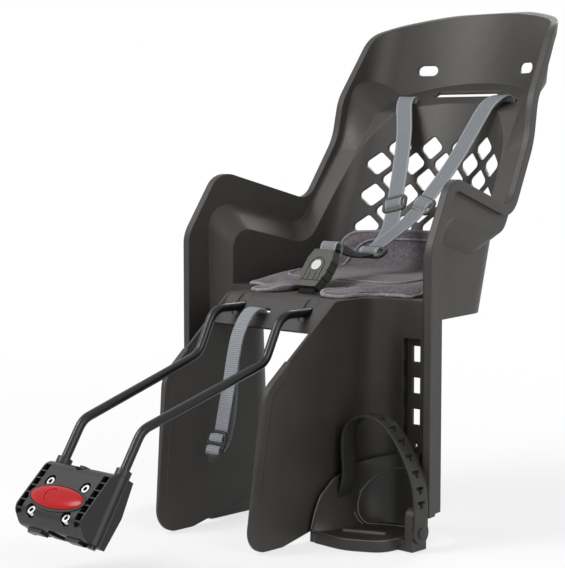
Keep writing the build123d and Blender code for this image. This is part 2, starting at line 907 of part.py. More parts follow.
# ellipses of the button's crown: how far inside its outline, and how high
button_crown = [(0, button_edge), (1.2, 0.6 * button_stand), (4.6, button_stand)]
with BuildPart() as release_button:
    with BuildSketch(block_face.offset(-button_depth)):
        Ellipse(button_length / 2, button_width / 2)
    extrude(amount=button_depth + button_edge)
    for share, height in button_crown:
        with BuildSketch(block_face.offset(height)):
            Ellipse(button_length / 2 - share, button_width / 2 - share)
    loft()
    dish_radius = (button_dish**2 / 4 + button_dish_depth**2) / (2 * button_dish_depth)
    with Locations(block_face.from_local_coords((button_dish_place, 0, button_stand))):
        dish_lift = block_face.z_dir * (dish_radius - button_dish_depth)
        with Locations(dish_lift):
            Sphere(dish_radius, mode=Mode.SUBTRACT)

release_button.part.label = "release_button"
export_step(release_button.part.moved(to_middle), "parts/release_button.step")

# Coil springs behind the button
spring_length = button_travel + soft_gap + spring_diameter - spring_wire - 2 * fit_gap
with BuildPart() as button_springs:
    for side in (-1, 1):
        spring_foot = block_face.from_local_coords(
            (side * spring_place, 0, -button_depth - fit_gap - spring_wire / 2 - spring_length)
        )
        with BuildLine() as coil:
            Helix(
                spring_pitch,
                spring_length,
                spring_diameter / 2 - spring_wire / 2,
                center=spring_foot,
                direction=block_face.z_dir,
            )
        with BuildSketch(Plane(origin=coil.line @ 0, z_dir=coil.line % 0)):
            Circle(spring_wire / 2)
        sweep(path=coil.line, is_frenet=True)

button_springs.part.label = "button_springs"
export_step(button_springs.part.moved(to_middle), "parts/button_springs.step")

# Footrests: the left one is drawn on +X and the right one mirrors it
tray_rear = panel_front - slide_gap
tray_outline = [
    (footrest_inner, tray_rear),
    (footrest_inner, -126),
    (140, -130),
    (182, -108),
    (188, -62),
    (186, -30),
    (156, tray_rear),
]
tray_radii = [guard_corner_radius + 6, 12, 60, 28, 20, 8, 4]
well_outline = [
    (footrest_bank_foot, -20),
    (footrest_bank_foot, -92),
    (176, -92),
    (180, -34),
    (150, -20),
]
bank_outline = [
    (-132, 0),
    (-132, 28),
    (-109, 55),
    (-51, 84),
    (tray_rear, footrest_bank_top),
    (tray_rear, 0),
]
bank_top_x = footrest_inner + footrest_bank_lean
bank_slope = (footrest_bank_foot - bank_top_x - footrest_bank_edge) / (footrest_bank_top - footrest_height)
post_middle = post_front + post_width / 2


def bank_face_x(height):
    """The sloping face of the footrest's bank, towards the foot."""
    return footrest_bank_foot - bank_slope * (height - footrest_height)


bank_plane = Plane(
    origin=(footrest_bank_foot, 0, footrest_height), x_dir=(0, 1, 0), z_dir=Vector(1, 0, bank_slope)
)
cup_rear = tray_rear - footrest_wall
heel_cup_outline = [
    (cup_rear, heel_cup_low),
    (heel_cup_front + heel_cup_low, heel_cup_low),
    (heel_cup_front, heel_cup_nose),
    (heel_cup_bend, heel_cup_bend_height),
    (cup_rear, heel_cup_top),
]
heel_cup_radii = [0, 12, 14, 40, 0]
stud_plane = Plane(origin=(post_outer, post_middle, stud_height), z_dir=(1, 0, 0))
rivet_plane = Plane(
    origin=(bank_face_x(rivet_height), post_middle, rivet_height), z_dir=Vector(1, 0, bank_slope)
)

with BuildPart() as bank:
    with BuildSketch(Plane.XZ):
        with BuildLine():
            Polyline(
                (footrest_inner, 0),
                (bank_top_x, footrest_bank_top),
                (bank_top_x + footrest_bank_edge, footrest_bank_top),
                (footrest_bank_foot, footrest_height),
                (footrest_bank_foot, 0),
                close=True,
            )
        make_face()
    extrude(amount=far, both=True)
    with BuildSketch(Plane.YZ):
        with BuildLine():
            FilletPolyline(bank_outline, radius=[0, 14, 60, 60, 0, 0], close=True)
        make_face()
    extrude(amount=far, both=True, mode=Mode.INTERSECT)
    with BuildSketch():
        with BuildLine():
            FilletPolyline(tray_outline, radius=tray_radii, close=True)
        make_face()
    extrude(amount=far, mode=Mode.INTERSECT)

with BuildPart() as footrest_left:
    with BuildSketch():
        with BuildLine():
            FilletPolyline(tray_outline, radius=tray_radii, close=True)
        make_face()
    extrude(amount=footrest_height)
    with BuildSketch(Plane.XY.offset(footrest_height)):
        with BuildLine():
            FilletPolyline(well_outline, radius=[20, 24, 16, 12, 12], close=True)
        make_face()
    extrude(amount=footrest_floor - footrest_height, mode=Mode.SUBTRACT)
    add(bank.part)
    # wall behind the heel, and the cup for the heel in the bank's face
    with BuildSketch():
        with BuildLine():
            FilletPolyline(tray_outline, radius=tray_radii, close=True)
        make_face()
        offset(amount=-footrest_wall, mode=Mode.SUBTRACT)
        with Locations((heel_wall_start, tray_rear)):
            heel_run = heel_wall_end - heel_wall_start
            Rectangle(heel_run, guard_corner_radius, align=(Align.MIN, Align.MAX), mode=Mode.INTERSECT)
    extrude(amount=heel_wall_height)
    with BuildSketch(bank_plane):
        with BuildLine():
            FilletPolyline(heel_cup_outline, radius=heel_cup_radii, close=True)
        make_face()
    extrude(amount=-heel_cup_depth, mode=Mode.SUBTRACT)
    with BuildSketch():
        with BuildLine():
            FilletPolyline(tray_outline, radius=tray_radii, close=True)
        make_face()
        offset(amount=-footrest_wall, mode=Mode.REPLACE)
    extrude(amount=footrest_wall, mode=Mode.SUBTRACT)
    with BuildSketch():
        with Locations((footrest_slot_x, footrest_slot_y)):
            SlotOverall(footrest_slot_length, footrest_slot_width)
    extrude(amount=far, mode=Mode.SUBTRACT)
    with BuildSketch():
        with Locations((post_root, post_front)):
            Rectangle(post_outer - post_root, post_width, align=(Align.MIN, Align.MIN))
    extrude(amount=footrest_height)
    with BuildSketch():
        with Locations((post_outer, post_front)):
            Rectangle(post_thickness, post_width, align=(Align.MAX, Align.MIN))
    extrude(amount=post_height)
    with BuildSketch():
        with Locations((rack_center, tray_rear)):
            Rectangle(latch_width + 2 * footrest_wall, footrest_wall, align=(Align.CENTER, Align.MAX))
            Rectangle(latch_width, rack_depth, align=(Align.CENTER, Align.MIN))
    extrude(amount=latch_height)
    for hole_plane in (stud_plane, rivet_plane):
        with BuildSketch(hole_plane):
            Circle(stud_shank_diameter / 2 + fit_gap)
        extrude(amount=-stud_shank - seat_gap, mode=Mode.SUBTRACT)

strap_lie = seat_gap + strap_thickness / 2
strap_lie_x = strap_lie * (1 + bank_slope**2) ** 0.5
strap_end = rivet_height - strap_disc_diameter / 2
strap_path = [
    (bank_face_x(strap_end) + strap_lie_x, strap_end),
    (bank_face_x(strap_leave) + strap_lie_x, strap_leave),
    (strap_inner_bend_x, strap_inner_bend),
    (strap_crown_x, strap_crown),
    (strap_outer_bend_x, strap_outer_bend),
    (post_outer + strap_lie, post_height + strap_post_rise),
    (post_outer + strap_lie, stud_height),
]
with BuildPart() as foot_strap_left:
    with BuildSketch(Plane.XZ.offset(-post_front)) as strap_band:
        with BuildLine() as strap_line:
            FilletPolyline(strap_path, radius=[strap_bend_radius, 28, strap_bend_radius, 60, 24])
        trace(strap_line.line, line_width=strap_thickness)
    extrude(amount=-post_width)
    with BuildSketch(stud_plane.offset(seat_gap)):
        Circle(strap_disc_diameter / 2)
    extrude(amount=strap_thickness)
    for step in range(strap_slot_count):
        share = strap_slot_first + strap_slot_step * step
        place = strap_line.line @ share
        run = strap_line.line % share
        place = Vector(place.X, post_middle, place.Y)
        with BuildSketch(Plane(origin=place, x_dir=(0, 1, 0), z_dir=(-run.Y, 0, run.X))):
            SlotOverall(strap_slot_length, strap_slot_width)
            with Locations((0, strap_slot_width / 2)):
                Circle(strap_slot_width)
        extrude(amount=strap_thickness, both=True, mode=Mode.SUBTRACT)
    for hole_plane in (stud_plane, rivet_plane):
        with BuildSketch(hole_plane):
            Circle(stud_shank_diameter / 2 + fit_gap)
        extrude(amount=3 * strap_thickness, both=True, mode=Mode.SUBTRACT)

with BuildPart() as foot_strap_studs_left:
    for head_plane in (stud_plane, rivet_plane):
        with BuildSketch(head_plane.offset(2 * seat_gap + strap_thickness)):
            Circle(stud_diameter / 2)
        extrude(amount=stud_head)
        with BuildSketch(head_plane.offset(2 * seat_gap + strap_thickness)):
            Circle(stud_shank_diameter / 2)
        extrude(amount=-2 * seat_gap - strap_thickness - stud_shank)

for piece, name in [
    (footrest_left, "footrest"),
    (foot_strap_left, "foot_strap"),
    (foot_strap_studs_left, "foot_strap_studs"),
]:
    other = mirror(piece.part, about=Plane.YZ)
    piece.part.label = name + "_left"
    other.label = name + "_right"
    export_step(piece.part.moved(to_middle), "parts/" + name + "_left.step")
    export_step(other.moved(to_middle), "parts/" + name + "_right.step")

# Cushion: a seat pad with a gap for the buckle, and a low back pad
cushion_low = pan_height + soft_gap
with BuildPart() as back_pad:
    add(tub_space(-soft_gap, 2 * cushion_front, pan_height))
    add(tub_space(-soft_gap - cushion_back_thickness, 3 * cushion_front, below), mode=Mode.SUBTRACT)
    with BuildSketch(Plane.XZ):
        with Locations((0, cushion_low)):
            RectangleRounded(
                2 * cushion_back_half_width,
                2 * (cushion_back_height - cushion_low),
                cushion_back_radius,
            )
    extrude(amount=-behind, mode=Mode.INTERSECT)
    with BuildSketch(Plane.XY.offset(cushion_low)):
        Rectangle(2 * far, 2 * far)
    extrude(amount=far, mode=Mode.INTERSECT)

with BuildPart() as seat_cushion:
    with BuildSketch(Plane.XY.offset(cushion_low)):
        with BuildLine():
            FilletPolyline(
                (cushion_gap_half_width, cushion_gap_end),
                (cushion_gap_half_width, cushion_front),
                (cushion_lobe_width, cushion_front),
                (cushion_lobe_width, cushion_side_front),
                (cushion_half_width, cushion_side_front),
                (cushion_half_width - cushion_side_taper, far),
                (cushion_side_taper - cushion_half_width, far),
                (-cushion_half_width, cushion_side_front),
                (-cushion_lobe_width, cushion_side_front),
                (-cushion_lobe_width, cushion_front),
                (-cushion_gap_half_width, cushion_front),
                (-cushion_gap_half_width, cushion_gap_end),
                radius=cushion_corner_radius,
                close=True,
            )
        make_face()
    extrude(amount=cushion_thickness)
    add(tub_space(-soft_gap, 2 * cushion_front, pan_height), mode=Mode.INTERSECT)
    add(back_pad.part)

seat_cushion.part.label = "seat_cushion"
export_step(seat_cushion.part.moved(to_middle), "parts/seat_cushion.step")

# Harness: each strap is looped round an anchor bar behind its slot
bar_radius = anchor_bar_diameter / 2
loop_inner = bar_radius + fit_gap
loop_outer = loop_inner + webbing_thickness
loop_middle = (loop_inner + loop_outer) / 2
shoulder_slot_middle = shoulder_slot_front + shoulder_slot_width / 2
shelf_top = shelf_height + shelf_slope * (shoulder_slot_middle - panel_top_front)
shelf_drop = (wall + bar_radius + seat_gap) / cos(atan(shelf_slope))
shoulder_bar = Vector(shoulder_slot_place, shoulder_slot_middle, shelf_top - shelf_drop)
crotch_bar = Vector(0, crotch_slot_y, pan_height - bridge_wall - bar_radius - seat_gap)
safety_slot = bridge_face.from_local_coords((safety_slot_x, 0, 0))
safety_bar = safety_slot - bridge_face.z_dir * (bridge_skin + bar_radius + seat_gap)
joiner_way = Vector(0, cos(radians(joiner_rise)), sin(radians(joiner_rise)))
joiner_plane = Plane(
    origin=(0, joiner_y, joiner_height), x_dir=(1, 0, 0), z_dir=Vector(1, 0, 0).cross(joiner_way)
)
buckle_way = Vector(0, sin(radians(buckle_lean)), cos(radians(buckle_lean)))
buckle_face = Plane(
    origin=(0, buckle_y, pan_height), x_dir=(1, 0, 0), z_dir=Vector(1, 0, 0).cross(buckle_way)
)
buckle_middle = buckle_face.offset(-buckle_thickness / 2)
webbing_room = webbing_width + 2 * soft_gap


def shoulder_strap(side):
    """Webbing from the anchor bar through the slot, over the shelf and down to the joiner."""
    lift = joiner_plane.z_dir * (side * webbing_lift)
    socket = Vector(0, joiner_y, joiner_height) - joiner_way * (joiner_socket - joiner_length / 2 - soft_gap)
    points = [
        shoulder_bar + Vector(0, 0, loop_middle),
        Vector(shoulder_slot_place, shoulder_slot_middle, shelf_top + 1),
        Vector(strap_edge_x, strap_edge_y, shelf_height + strap_edge_rise),
        Vector(*strap_chest),
        Vector(*strap_high),
        Vector(*strap_low) + lift,
        Vector(*strap_meet) + lift,
        socket + joiner_way * joiner_socket + lift,
        socket + lift,
    ]
    points = [Vector(side * v.X, v.Y, v.Z) for v in points]
    runs = [(after - here).normalized() for here, after in zip(points, points[1:])]
    turns = runs[:1] + [run + after for run, after in zip(runs, runs[1:])] + runs[-1:]
    with BuildPart() as strap:
        for here, turn in zip(points, turns):
            with BuildSketch(Plane(origin=here, x_dir=(1, 0, 0), z_dir=turn)):
                Rectangle(webbing_width, webbing_thickness)
        loft(ruled=True)
        add(bar_loop(Vector(side * shoulder_bar.X, shoulder_bar.Y, shoulder_bar.Z)))
    return strap.part


def side_ribbon(points, radius, x):
    """Webbing bent only fore and aft, drawn as a line seen from the side."""
    with BuildPart() as ribbon:
        with BuildSketch(Plane.YZ.offset(x)):
            with BuildLine() as ribbon_line:
                FilletPolyline([(v.Y, v.Z) for v in points], radius=radius)
            trace(ribbon_line.line, line_width=webbing_thickness)
        extrude(amount=webbing_width / 2, both=True)
    return ribbon.part


def bar_loop(bar):
    """Stitched loop of a strap round its anchor bar."""
    with BuildPart() as loop:
        with BuildSketch(Plane(origin=bar, z_dir=(1, 0, 0))):
            Circle(loop_outer)
            Circle(loop_inner, mode=Mode.SUBTRACT)
        extrude(amount=webbing_width / 2, both=True)
    return loop.part


def webbing_frame(plane, width, length, thickness, window):
    """Flat moulded frame with a tunnel for webbing and a window that shows it."""
    with BuildPart() as frame:
        with BuildSketch(plane.offset(-thickness / 2)):
            RectangleRounded(width, length, length / 4)
        extrude(amount=thickness)
        with BuildSketch(plane.offset(-webbing_thickness / 2 - soft_gap)):
            Rectangle(webbing_room, 2 * length)
        extrude(amount=webbing_thickness + 2 * soft_gap, mode=Mode.SUBTRACT)
        with BuildSketch(plane):
            Rectangle(webbing_room, window)
        extrude(amount=thickness, mode=Mode.SUBTRACT)
    return frame.part


with BuildPart() as strap_anchor_bars:
    bars = [shoulder_bar, Vector(-shoulder_bar.X, shoulder_bar.Y, shoulder_bar.Z), crotch_bar, safety_bar]
    for bar in bars:
        with BuildSketch(Plane(origin=bar, z_dir=(1, 0, 0))):
            Circle(bar_radius)
        extrude(amount=anchor_bar_length / 2, both=True)

strap_anchor_bars.part.label = "strap_anchor_bars"
export_step(strap_anchor_bars.part.moved(to_middle), "parts/strap_anchor_bars.step")

for side, name in ((1, "left"), (-1, "right")):
    strap = shoulder_strap(side)
    strap.label = "shoulder_strap_" + name
    export_step(strap.moved(to_middle), "parts/shoulder_strap_" + name + ".step")
    high = Vector(side * strap_high[0], *strap_high[1:])
    low = Vector(side * strap_low[0], *strap_low[1:]) + joiner_plane.z_dir * (side * webbing_lift)
    slider_way = (high - low).normalized()
    across = (Vector(1, 0, 0) - slider_way * slider_way.X).normalized()
    slider_middle = low + (high - low) * slider_share
    slider_plane = Plane(origin=slider_middle, x_dir=across, z_dir=across.cross(slider_way))
    slider = webbing_frame(slider_plane, slider_width, slider_length, slider_thickness, slider_window)
    slider.label = "strap_slider_" + name
    export_step(slider.moved(to_middle), "parts/strap_slider_" + name + ".step")

stack = webbing_thickness + 2 * webbing_lift + 2 * soft_gap
with BuildPart() as strap_joiner:
    with BuildSketch(joiner_plane.offset(-joiner_thickness / 2)):
        RectangleRounded(joiner_width, joiner_length, joiner_length / 4)
    extrude(amount=joiner_thickness)
    with BuildSketch(joiner_plane.offset(-stack / 2)):
        with Locations((0, joiner_length)):
            Rectangle(webbing_room, joiner_length / 2 + joiner_socket, align=(Align.CENTER, Align.MAX))
    extrude(amount=stack, mode=Mode.SUBTRACT)
    with BuildSketch(joiner_plane.offset(-webbing_thickness / 2 - soft_gap)):
        with Locations((0, -joiner_length)):
            Rectangle(webbing_room, joiner_length - slider_frame, align=(Align.CENTER, Align.MIN))
    extrude(amount=webbing_thickness + 2 * soft_gap, mode=Mode.SUBTRACT)

strap_joiner.part.label = "strap_joiner"
export_step(strap_joiner.part.moved(to_middle), "parts/strap_joiner.step")

# Buckle on its own strap, with a loop of webbing over its top
with BuildPart() as buckle_housing:
    with BuildSketch(buckle_face):
        with BuildLine():
            FilletPolyline(
                (buckle_foot_width / 2, buckle_foot),
                (buckle_width / 2, buckle_foot + buckle_width / 2),
                (buckle_width / 2, buckle_top - buckle_thickness),
                (buckle_top_width / 2, buckle_top),
                (-buckle_top_width / 2, buckle_top),
                (-buckle_width / 2, buckle_top - buckle_thickness),
                (-buckle_width / 2, buckle_foot + buckle_width / 2),
                (-buckle_foot_width / 2, buckle_foot),
                radius=[2, 8, 6, 2, 2, 6, 8, 2],
                close=True,
            )
        make_face()
    extrude(amount=-buckle_thickness)
    with BuildSketch(buckle_face):
        with Locations((0, buckle_button_place)):
            Circle(buckle_button_diameter / 2 + rod_gap)
    extrude(amount=-buckle_button_depth - buckle_button_travel - soft_gap, mode=Mode.SUBTRACT)
    # arch over the button, two rules below it, the step of the foot and the cuts of the side levers
    arch_top = buckle_button_place + buckle_arch_width / 2
    arch_length = arch_top - buckle_arch_foot
    rule_place = buckle_button_place - buckle_button_diameter / 2 - 2 * buckle_groove
    with BuildSketch(buckle_face):
        with Locations((0, arch_top - arch_length)):
            SlotOverall(2 * arch_length, buckle_arch_width, rotation=90)
            SlotOverall(
                2 * arch_length - 2 * buckle_groove,
                buckle_arch_width - 2 * buckle_groove,
                rotation=90,
                mode=Mode.SUBTRACT,
            )
            Rectangle(2 * far, far, align=(Align.CENTER, Align.MAX), mode=Mode.SUBTRACT)
        with Locations((-buckle_rule_spread, rule_place), (buckle_rule_spread, rule_place)):
            Rectangle(buckle_groove, buckle_rule_length, align=(Align.CENTER, Align.MAX))
        with Locations((0, buckle_step)):
            Rectangle(2 * buckle_width, buckle_groove, align=(Align.CENTER, Align.MAX))
    extrude(amount=-buckle_groove_depth, mode=Mode.SUBTRACT)
    with BuildSketch(buckle_face):
        for along in buckle_lever_cuts:
            slant = (buckle_width - buckle_foot_width) / buckle_width
            edge = buckle_width / 2 - slant * max(0, buckle_foot + buckle_width / 2 - along)
            with Locations((edge, along), (-edge, along)):
                Rectangle(2 * buckle_lever_depth, buckle_groove)
    extrude(amount=-buckle_thickness, mode=Mode.SUBTRACT)
    with BuildSketch(buckle_middle.offset(-webbing_thickness / 2 - soft_gap)):
        with Locations((0, 0)):
            Rectangle(webbing_room, buckle_foot + buckle_socket, align=(Align.CENTER, Align.MIN))
    extrude(amount=webbing_thickness + 2 * soft_gap, mode=Mode.SUBTRACT)
    with BuildSketch(buckle_middle.offset(-stack / 2)):
        with Locations((0, buckle_top - buckle_socket)):
            Rectangle(webbing_room, 2 * buckle_socket, align=(Align.CENTER, Align.MIN))
    extrude(amount=stack, mode=Mode.SUBTRACT)

buckle_housing.part.label = "buckle_housing"
export_step(buckle_housing.part.moved(to_middle), "parts/buckle_housing.step")

with BuildPart() as buckle_button:
    with BuildSketch(buckle_face.offset(-buckle_button_depth)):
        with Locations((0, buckle_button_place)):
            Circle(buckle_button_diameter / 2)
    extrude(amount=buckle_button_depth + buckle_button_stand)

buckle_button.part.label = "buckle_button"
export_step(buckle_button.part.moved(to_middle), "parts/buckle_button.step")


def in_buckle(along, depth):
    """A place in the buckle's middle plane, along it from its foot and behind its middle."""
    return buckle_middle.from_local_coords((0, along, -depth))


with BuildPart() as crotch_strap:
    add(
        side_ribbon(
            [
                crotch_bar + Vector(0, 0, loop_middle),
                in_buckle(buckle_foot - soft_gap, 0),
                in_buckle(buckle_foot + buckle_socket - soft_gap, 0),
            ],
            2,
            0,
        )
    )
    add(bar_loop(crotch_bar))

crotch_strap.part.label = "crotch_strap"
export_step(crotch_strap.part.moved(to_middle), "parts/crotch_strap.step")

with BuildPart() as joiner_strap:
    add(
        side_ribbon(
            [
                joiner_plane.from_local_coords((0, -slider_frame - soft_gap, 0)),
                joiner_plane.from_local_coords((0, -joiner_length, 0)),
                in_buckle(buckle_top + buckle_socket / 2, webbing_lift + buckle_socket),
                in_buckle(buckle_top + buckle_socket / 2, webbing_lift),
                in_buckle(buckle_top - buckle_socket + soft_gap, webbing_lift),
            ],
            2,
            0,
        )
    )

joiner_strap.part.label = "joiner_strap"
export_step(joiner_strap.part.moved(to_middle), "parts/joiner_strap.step")

with BuildPart() as buckle_loop:
    add(
        side_ribbon(
            [
                in_buckle(buckle_top - buckle_socket + soft_gap, -webbing_lift),
                in_buckle(buckle_top + buckle_socket, -webbing_lift),
                in_buckle(buckle_top + buckle_socket, webbing_lift + buckle_socket),
            ],
            2,
            0,
        )
    )

buckle_loop.part.label = "buckle_loop"
export_step(buckle_loop.part.moved(to_middle), "parts/buckle_loop.step")

# Safety strap for the bicycle's frame, with a ladder lock at its end
with BuildPart() as safety_strap:
    add(
        side_ribbon(
            [
                safety_bar + bridge_face.z_dir * loop_middle,
                safety_slot + bridge_face.z_dir * safety_slot_width,
                Vector(0, *safety_high),
                Vector(0, *safety_middle),
                Vector(0, *safety_low),
                Vector(0, *safety_end),
            ],
            [6, 30, 60, 60],
            safety_slot_x,
        )
    )
    add(bar_loop(safety_bar))

safety_strap.part.label = "safety_strap"
export_step(safety_strap.part.moved(to_middle), "parts/safety_strap.step")

lock_low = Vector(safety_slot_x, *safety_end)
lock_way = Vector(safety_slot_x, *safety_low) - lock_low
lock_plane = Plane(
    origin=lock_low + lock_way * lock_share,
    x_dir=(1, 0, 0),
    z_dir=Vector(1, 0, 0).cross(lock_way),
)
ladder_lock = webbing_frame(lock_plane, lock_width, lock_length, lock_thickness, slider_window)
ladder_lock.label = "ladder_lock"
export_step(ladder_lock.moved(to_middle), "parts/ladder_lock.step")
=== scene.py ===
# %% [markdown]
# # A child's seat for the back of a bicycle
# One big black moulding holds the child. A bent steel rod carries it from a clamp on the seat
# tube. The hard pieces come from the CAD model, in the same frame and in metres. This lesson
# gives them their finishes, and makes again what needs a softer or finer form: pad, straps,
# sliders, ladder lock, footrests and the red button.

# %% Load the CAD frame
import json
from math import cos, pi, radians, sin, sqrt, tan

import bpy
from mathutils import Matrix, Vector


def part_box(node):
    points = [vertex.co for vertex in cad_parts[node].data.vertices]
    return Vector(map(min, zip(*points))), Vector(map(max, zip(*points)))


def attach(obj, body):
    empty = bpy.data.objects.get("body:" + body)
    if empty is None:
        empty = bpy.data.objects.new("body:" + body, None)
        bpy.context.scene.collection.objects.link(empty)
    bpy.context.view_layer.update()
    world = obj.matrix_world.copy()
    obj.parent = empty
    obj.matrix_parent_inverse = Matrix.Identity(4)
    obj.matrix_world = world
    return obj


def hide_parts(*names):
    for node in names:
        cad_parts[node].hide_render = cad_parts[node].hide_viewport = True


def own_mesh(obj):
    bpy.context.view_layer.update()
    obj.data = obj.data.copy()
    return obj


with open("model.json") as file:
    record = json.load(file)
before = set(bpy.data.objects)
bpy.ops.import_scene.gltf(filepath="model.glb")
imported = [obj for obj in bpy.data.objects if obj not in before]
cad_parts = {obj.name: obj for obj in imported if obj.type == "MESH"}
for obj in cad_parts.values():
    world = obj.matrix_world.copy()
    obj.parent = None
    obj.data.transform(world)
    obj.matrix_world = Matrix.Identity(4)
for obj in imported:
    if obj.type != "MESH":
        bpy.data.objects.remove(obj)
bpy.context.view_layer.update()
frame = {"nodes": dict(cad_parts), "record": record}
nodes = frame["nodes"]
bpy.ops.object.select_all(action="DESELECT")

# %% [markdown]
# ## Camera
# The photograph was taken from in front of the seat, 43 degrees round to its left, with a long
# lens a little above the head. The camera gets the same place and the same picture angle.

# %% Set up the camera
FRAME_SHIFT = 0.05133  # the CAD drawing's Y = 0 lies this far behind the middle of the seat
SENSOR = 36.0
FOCAL_PIXELS = 1650.0  # the lens's length, measured in pixels of the picture
PICTURE_HEIGHT = 568.0
LOOK_DOWN = 5.22
LOOK_ROUND = 43.25

camera_data = bpy.data.cameras.new("photo_camera")
camera_data.sensor_fit = "VERTICAL"
camera_data.sensor_height = SENSOR
camera_data.lens = FOCAL_PIXELS * SENSOR / PICTURE_HEIGHT
camera = bpy.data.objects.new("photo_camera", camera_data)
camera.location = (1.383, -1.5536 + FRAME_SHIFT, 0.4851)
camera.rotation_euler = (radians(90 - LOOK_DOWN), 0, radians(LOOK_ROUND))
bpy.context.scene.collection.objects.link(camera)
bpy.context.scene.camera = camera
print("camera lens mm:", round(camera_data.lens, 1))

# %% [markdown]
# ## Light
# Product pictures of black plastic use very large soft lamps: the plastic itself stays dark and
# its rounded edges catch the lamps. Here one big lamp hangs front left, a weaker one stands on
# the right and a third, from behind, draws the edges of the back.


# %% Set up lamps, world and floor
def add_lamp(name, place, aim, size, power):
    lamp_data = bpy.data.lights.new(name, "AREA")
    lamp_data.shape = "DISK"
    lamp_data.size = size
    lamp_data.energy = power
    lamp = bpy.data.objects.new(name, lamp_data)
    lamp.location = place
    lamp.rotation_euler = (Vector(aim) - Vector(place)).to_track_quat("-Z", "Y").to_euler()
    bpy.context.scene.collection.objects.link(lamp)


add_lamp("key_lamp", (-1.1, -1.9, 2.3), (0, 0, 0.3), 1.6, 64)
add_lamp("fill_lamp", (2.3, -0.7, 1.2), (0, 0, 0.3), 1.8, 26)
add_lamp("edge_lamp", (-0.6, 2.2, 1.9), (0, 0.1, 0.4), 1.2, 34)


def add_node(tree, kind, settings=(), links=()):
    """Add one shader node, set its fields or input sockets, and link other sockets into it."""
    new = tree.nodes.new(kind)
    for name, value in dict(settings).items():
        if isinstance(name, str) and hasattr(new, name) and name not in new.inputs:
            setattr(new, name, value)
        else:
            new.inputs[name].default_value = value
    for name, source in dict(links).items():
        tree.links.new(source, new.inputs[name])
    return new


def looking_rays(tree):
    """1 for the rays that show the studio: from the camera, in a reflection or through glass."""
    rays = add_node(tree, "ShaderNodeLightPath").outputs
    share = rays["Is Camera Ray"]
    for kind in ("Is Glossy Ray", "Is Transmission Ray"):
        larger = add_node(
            tree, "ShaderNodeMath", {"operation": "MAXIMUM"}, {0: share, 1: rays[kind]}
        )
        share = larger.outputs[0]
    return share


world = bpy.data.worlds.new("white_studio")
world.use_nodes = True
tree = world.node_tree
tree.nodes.clear()
soft = add_node(tree, "ShaderNodeBackground", {"Color": (1, 1, 1, 1), "Strength": 0.24})
white = add_node(tree, "ShaderNodeBackground", {"Color": (1, 1, 1, 1), "Strength": 1.0})
choice = add_node(tree, "ShaderNodeMixShader", (), {"Fac": looking_rays(tree)})
tree.links.new(soft.outputs[0], choice.inputs[1])
tree.links.new(white.outputs[0], choice.inputs[2])
add_node(tree, "ShaderNodeOutputWorld", (), {"Surface": choice.outputs[0]})
bpy.context.scene.world = world
bpy.context.scene.view_settings.view_transform = "Standard"

bpy.ops.mesh.primitive_plane_add(size=14.0, location=(0, 0, -0.0005))
floor = bpy.context.object
floor.name = "studio_floor"
floor_paint = bpy.data.materials.new("white_studio_floor")
floor_paint.use_nodes = True
tree = floor_paint.node_tree
tree.nodes.clear()
matt = add_node(tree, "ShaderNodeBsdfDiffuse", {"Color": (0.9, 0.9, 0.9, 1)})
glow = add_node(tree, "ShaderNodeEmission", {"Color": (1, 1, 1, 1), "Strength": 1.0})
place = add_node(tree, "ShaderNodeTexCoord").outputs["Object"]
away = add_node(tree, "ShaderNodeVectorMath", {"operation": "LENGTH"}, {0: place})
# near the seat the floor keeps its shadow; further off it fades into the white background
fade = add_node(
    tree,
    "ShaderNodeMapRange",
    {"From Min": 0.4, "From Max": 1.6, "To Min": 0.72, "To Max": 1.0},
    {"Value": away.outputs["Value"]},
)
share = add_node(
    tree,
    "ShaderNodeMath",
    {"operation": "MULTIPLY"},
    {0: looking_rays(tree), 1: fade.outputs["Result"]},
)
both = add_node(tree, "ShaderNodeMixShader", (), {"Fac": share.outputs[0]})
tree.links.new(matt.outputs[0], both.inputs[1])
tree.links.new(glow.outputs[0], both.inputs[2])
add_node(tree, "ShaderNodeOutputMaterial", (), {"Surface": both.outputs[0]})
floor.data.materials.append(floor_paint)
bpy.ops.object.select_all(action="DESELECT")
print("lamps:", len(bpy.data.lights), "floor:", floor.name)

# %% [markdown]
# ## Finishes
# Each finish starts from the real material: moulded polypropylene with a fine eroded grain,
# powder-coated steel, zinc-plated screws, polished red plastic, felt and woven webbing. Colours
# are written as hex values, as a colour picker shows them, and turned to linear light.


# %% Colours and moulded plastics
def linear(code):
    """An sRGB hex colour as the linear RGBA that shaders use."""
    parts = [int(code[i : i + 2], 16) / 255 for i in (1, 3, 5)]
    return [c / 12.92 if c <= 0.04045 else ((c + 0.055) / 1.055) ** 2.4 for c in parts] + [1.0]


def new_finish(name):
    finish = bpy.data.materials.new(name)
    finish.use_nodes = True
    finish.node_tree.nodes.clear()
    return finish, finish.node_tree


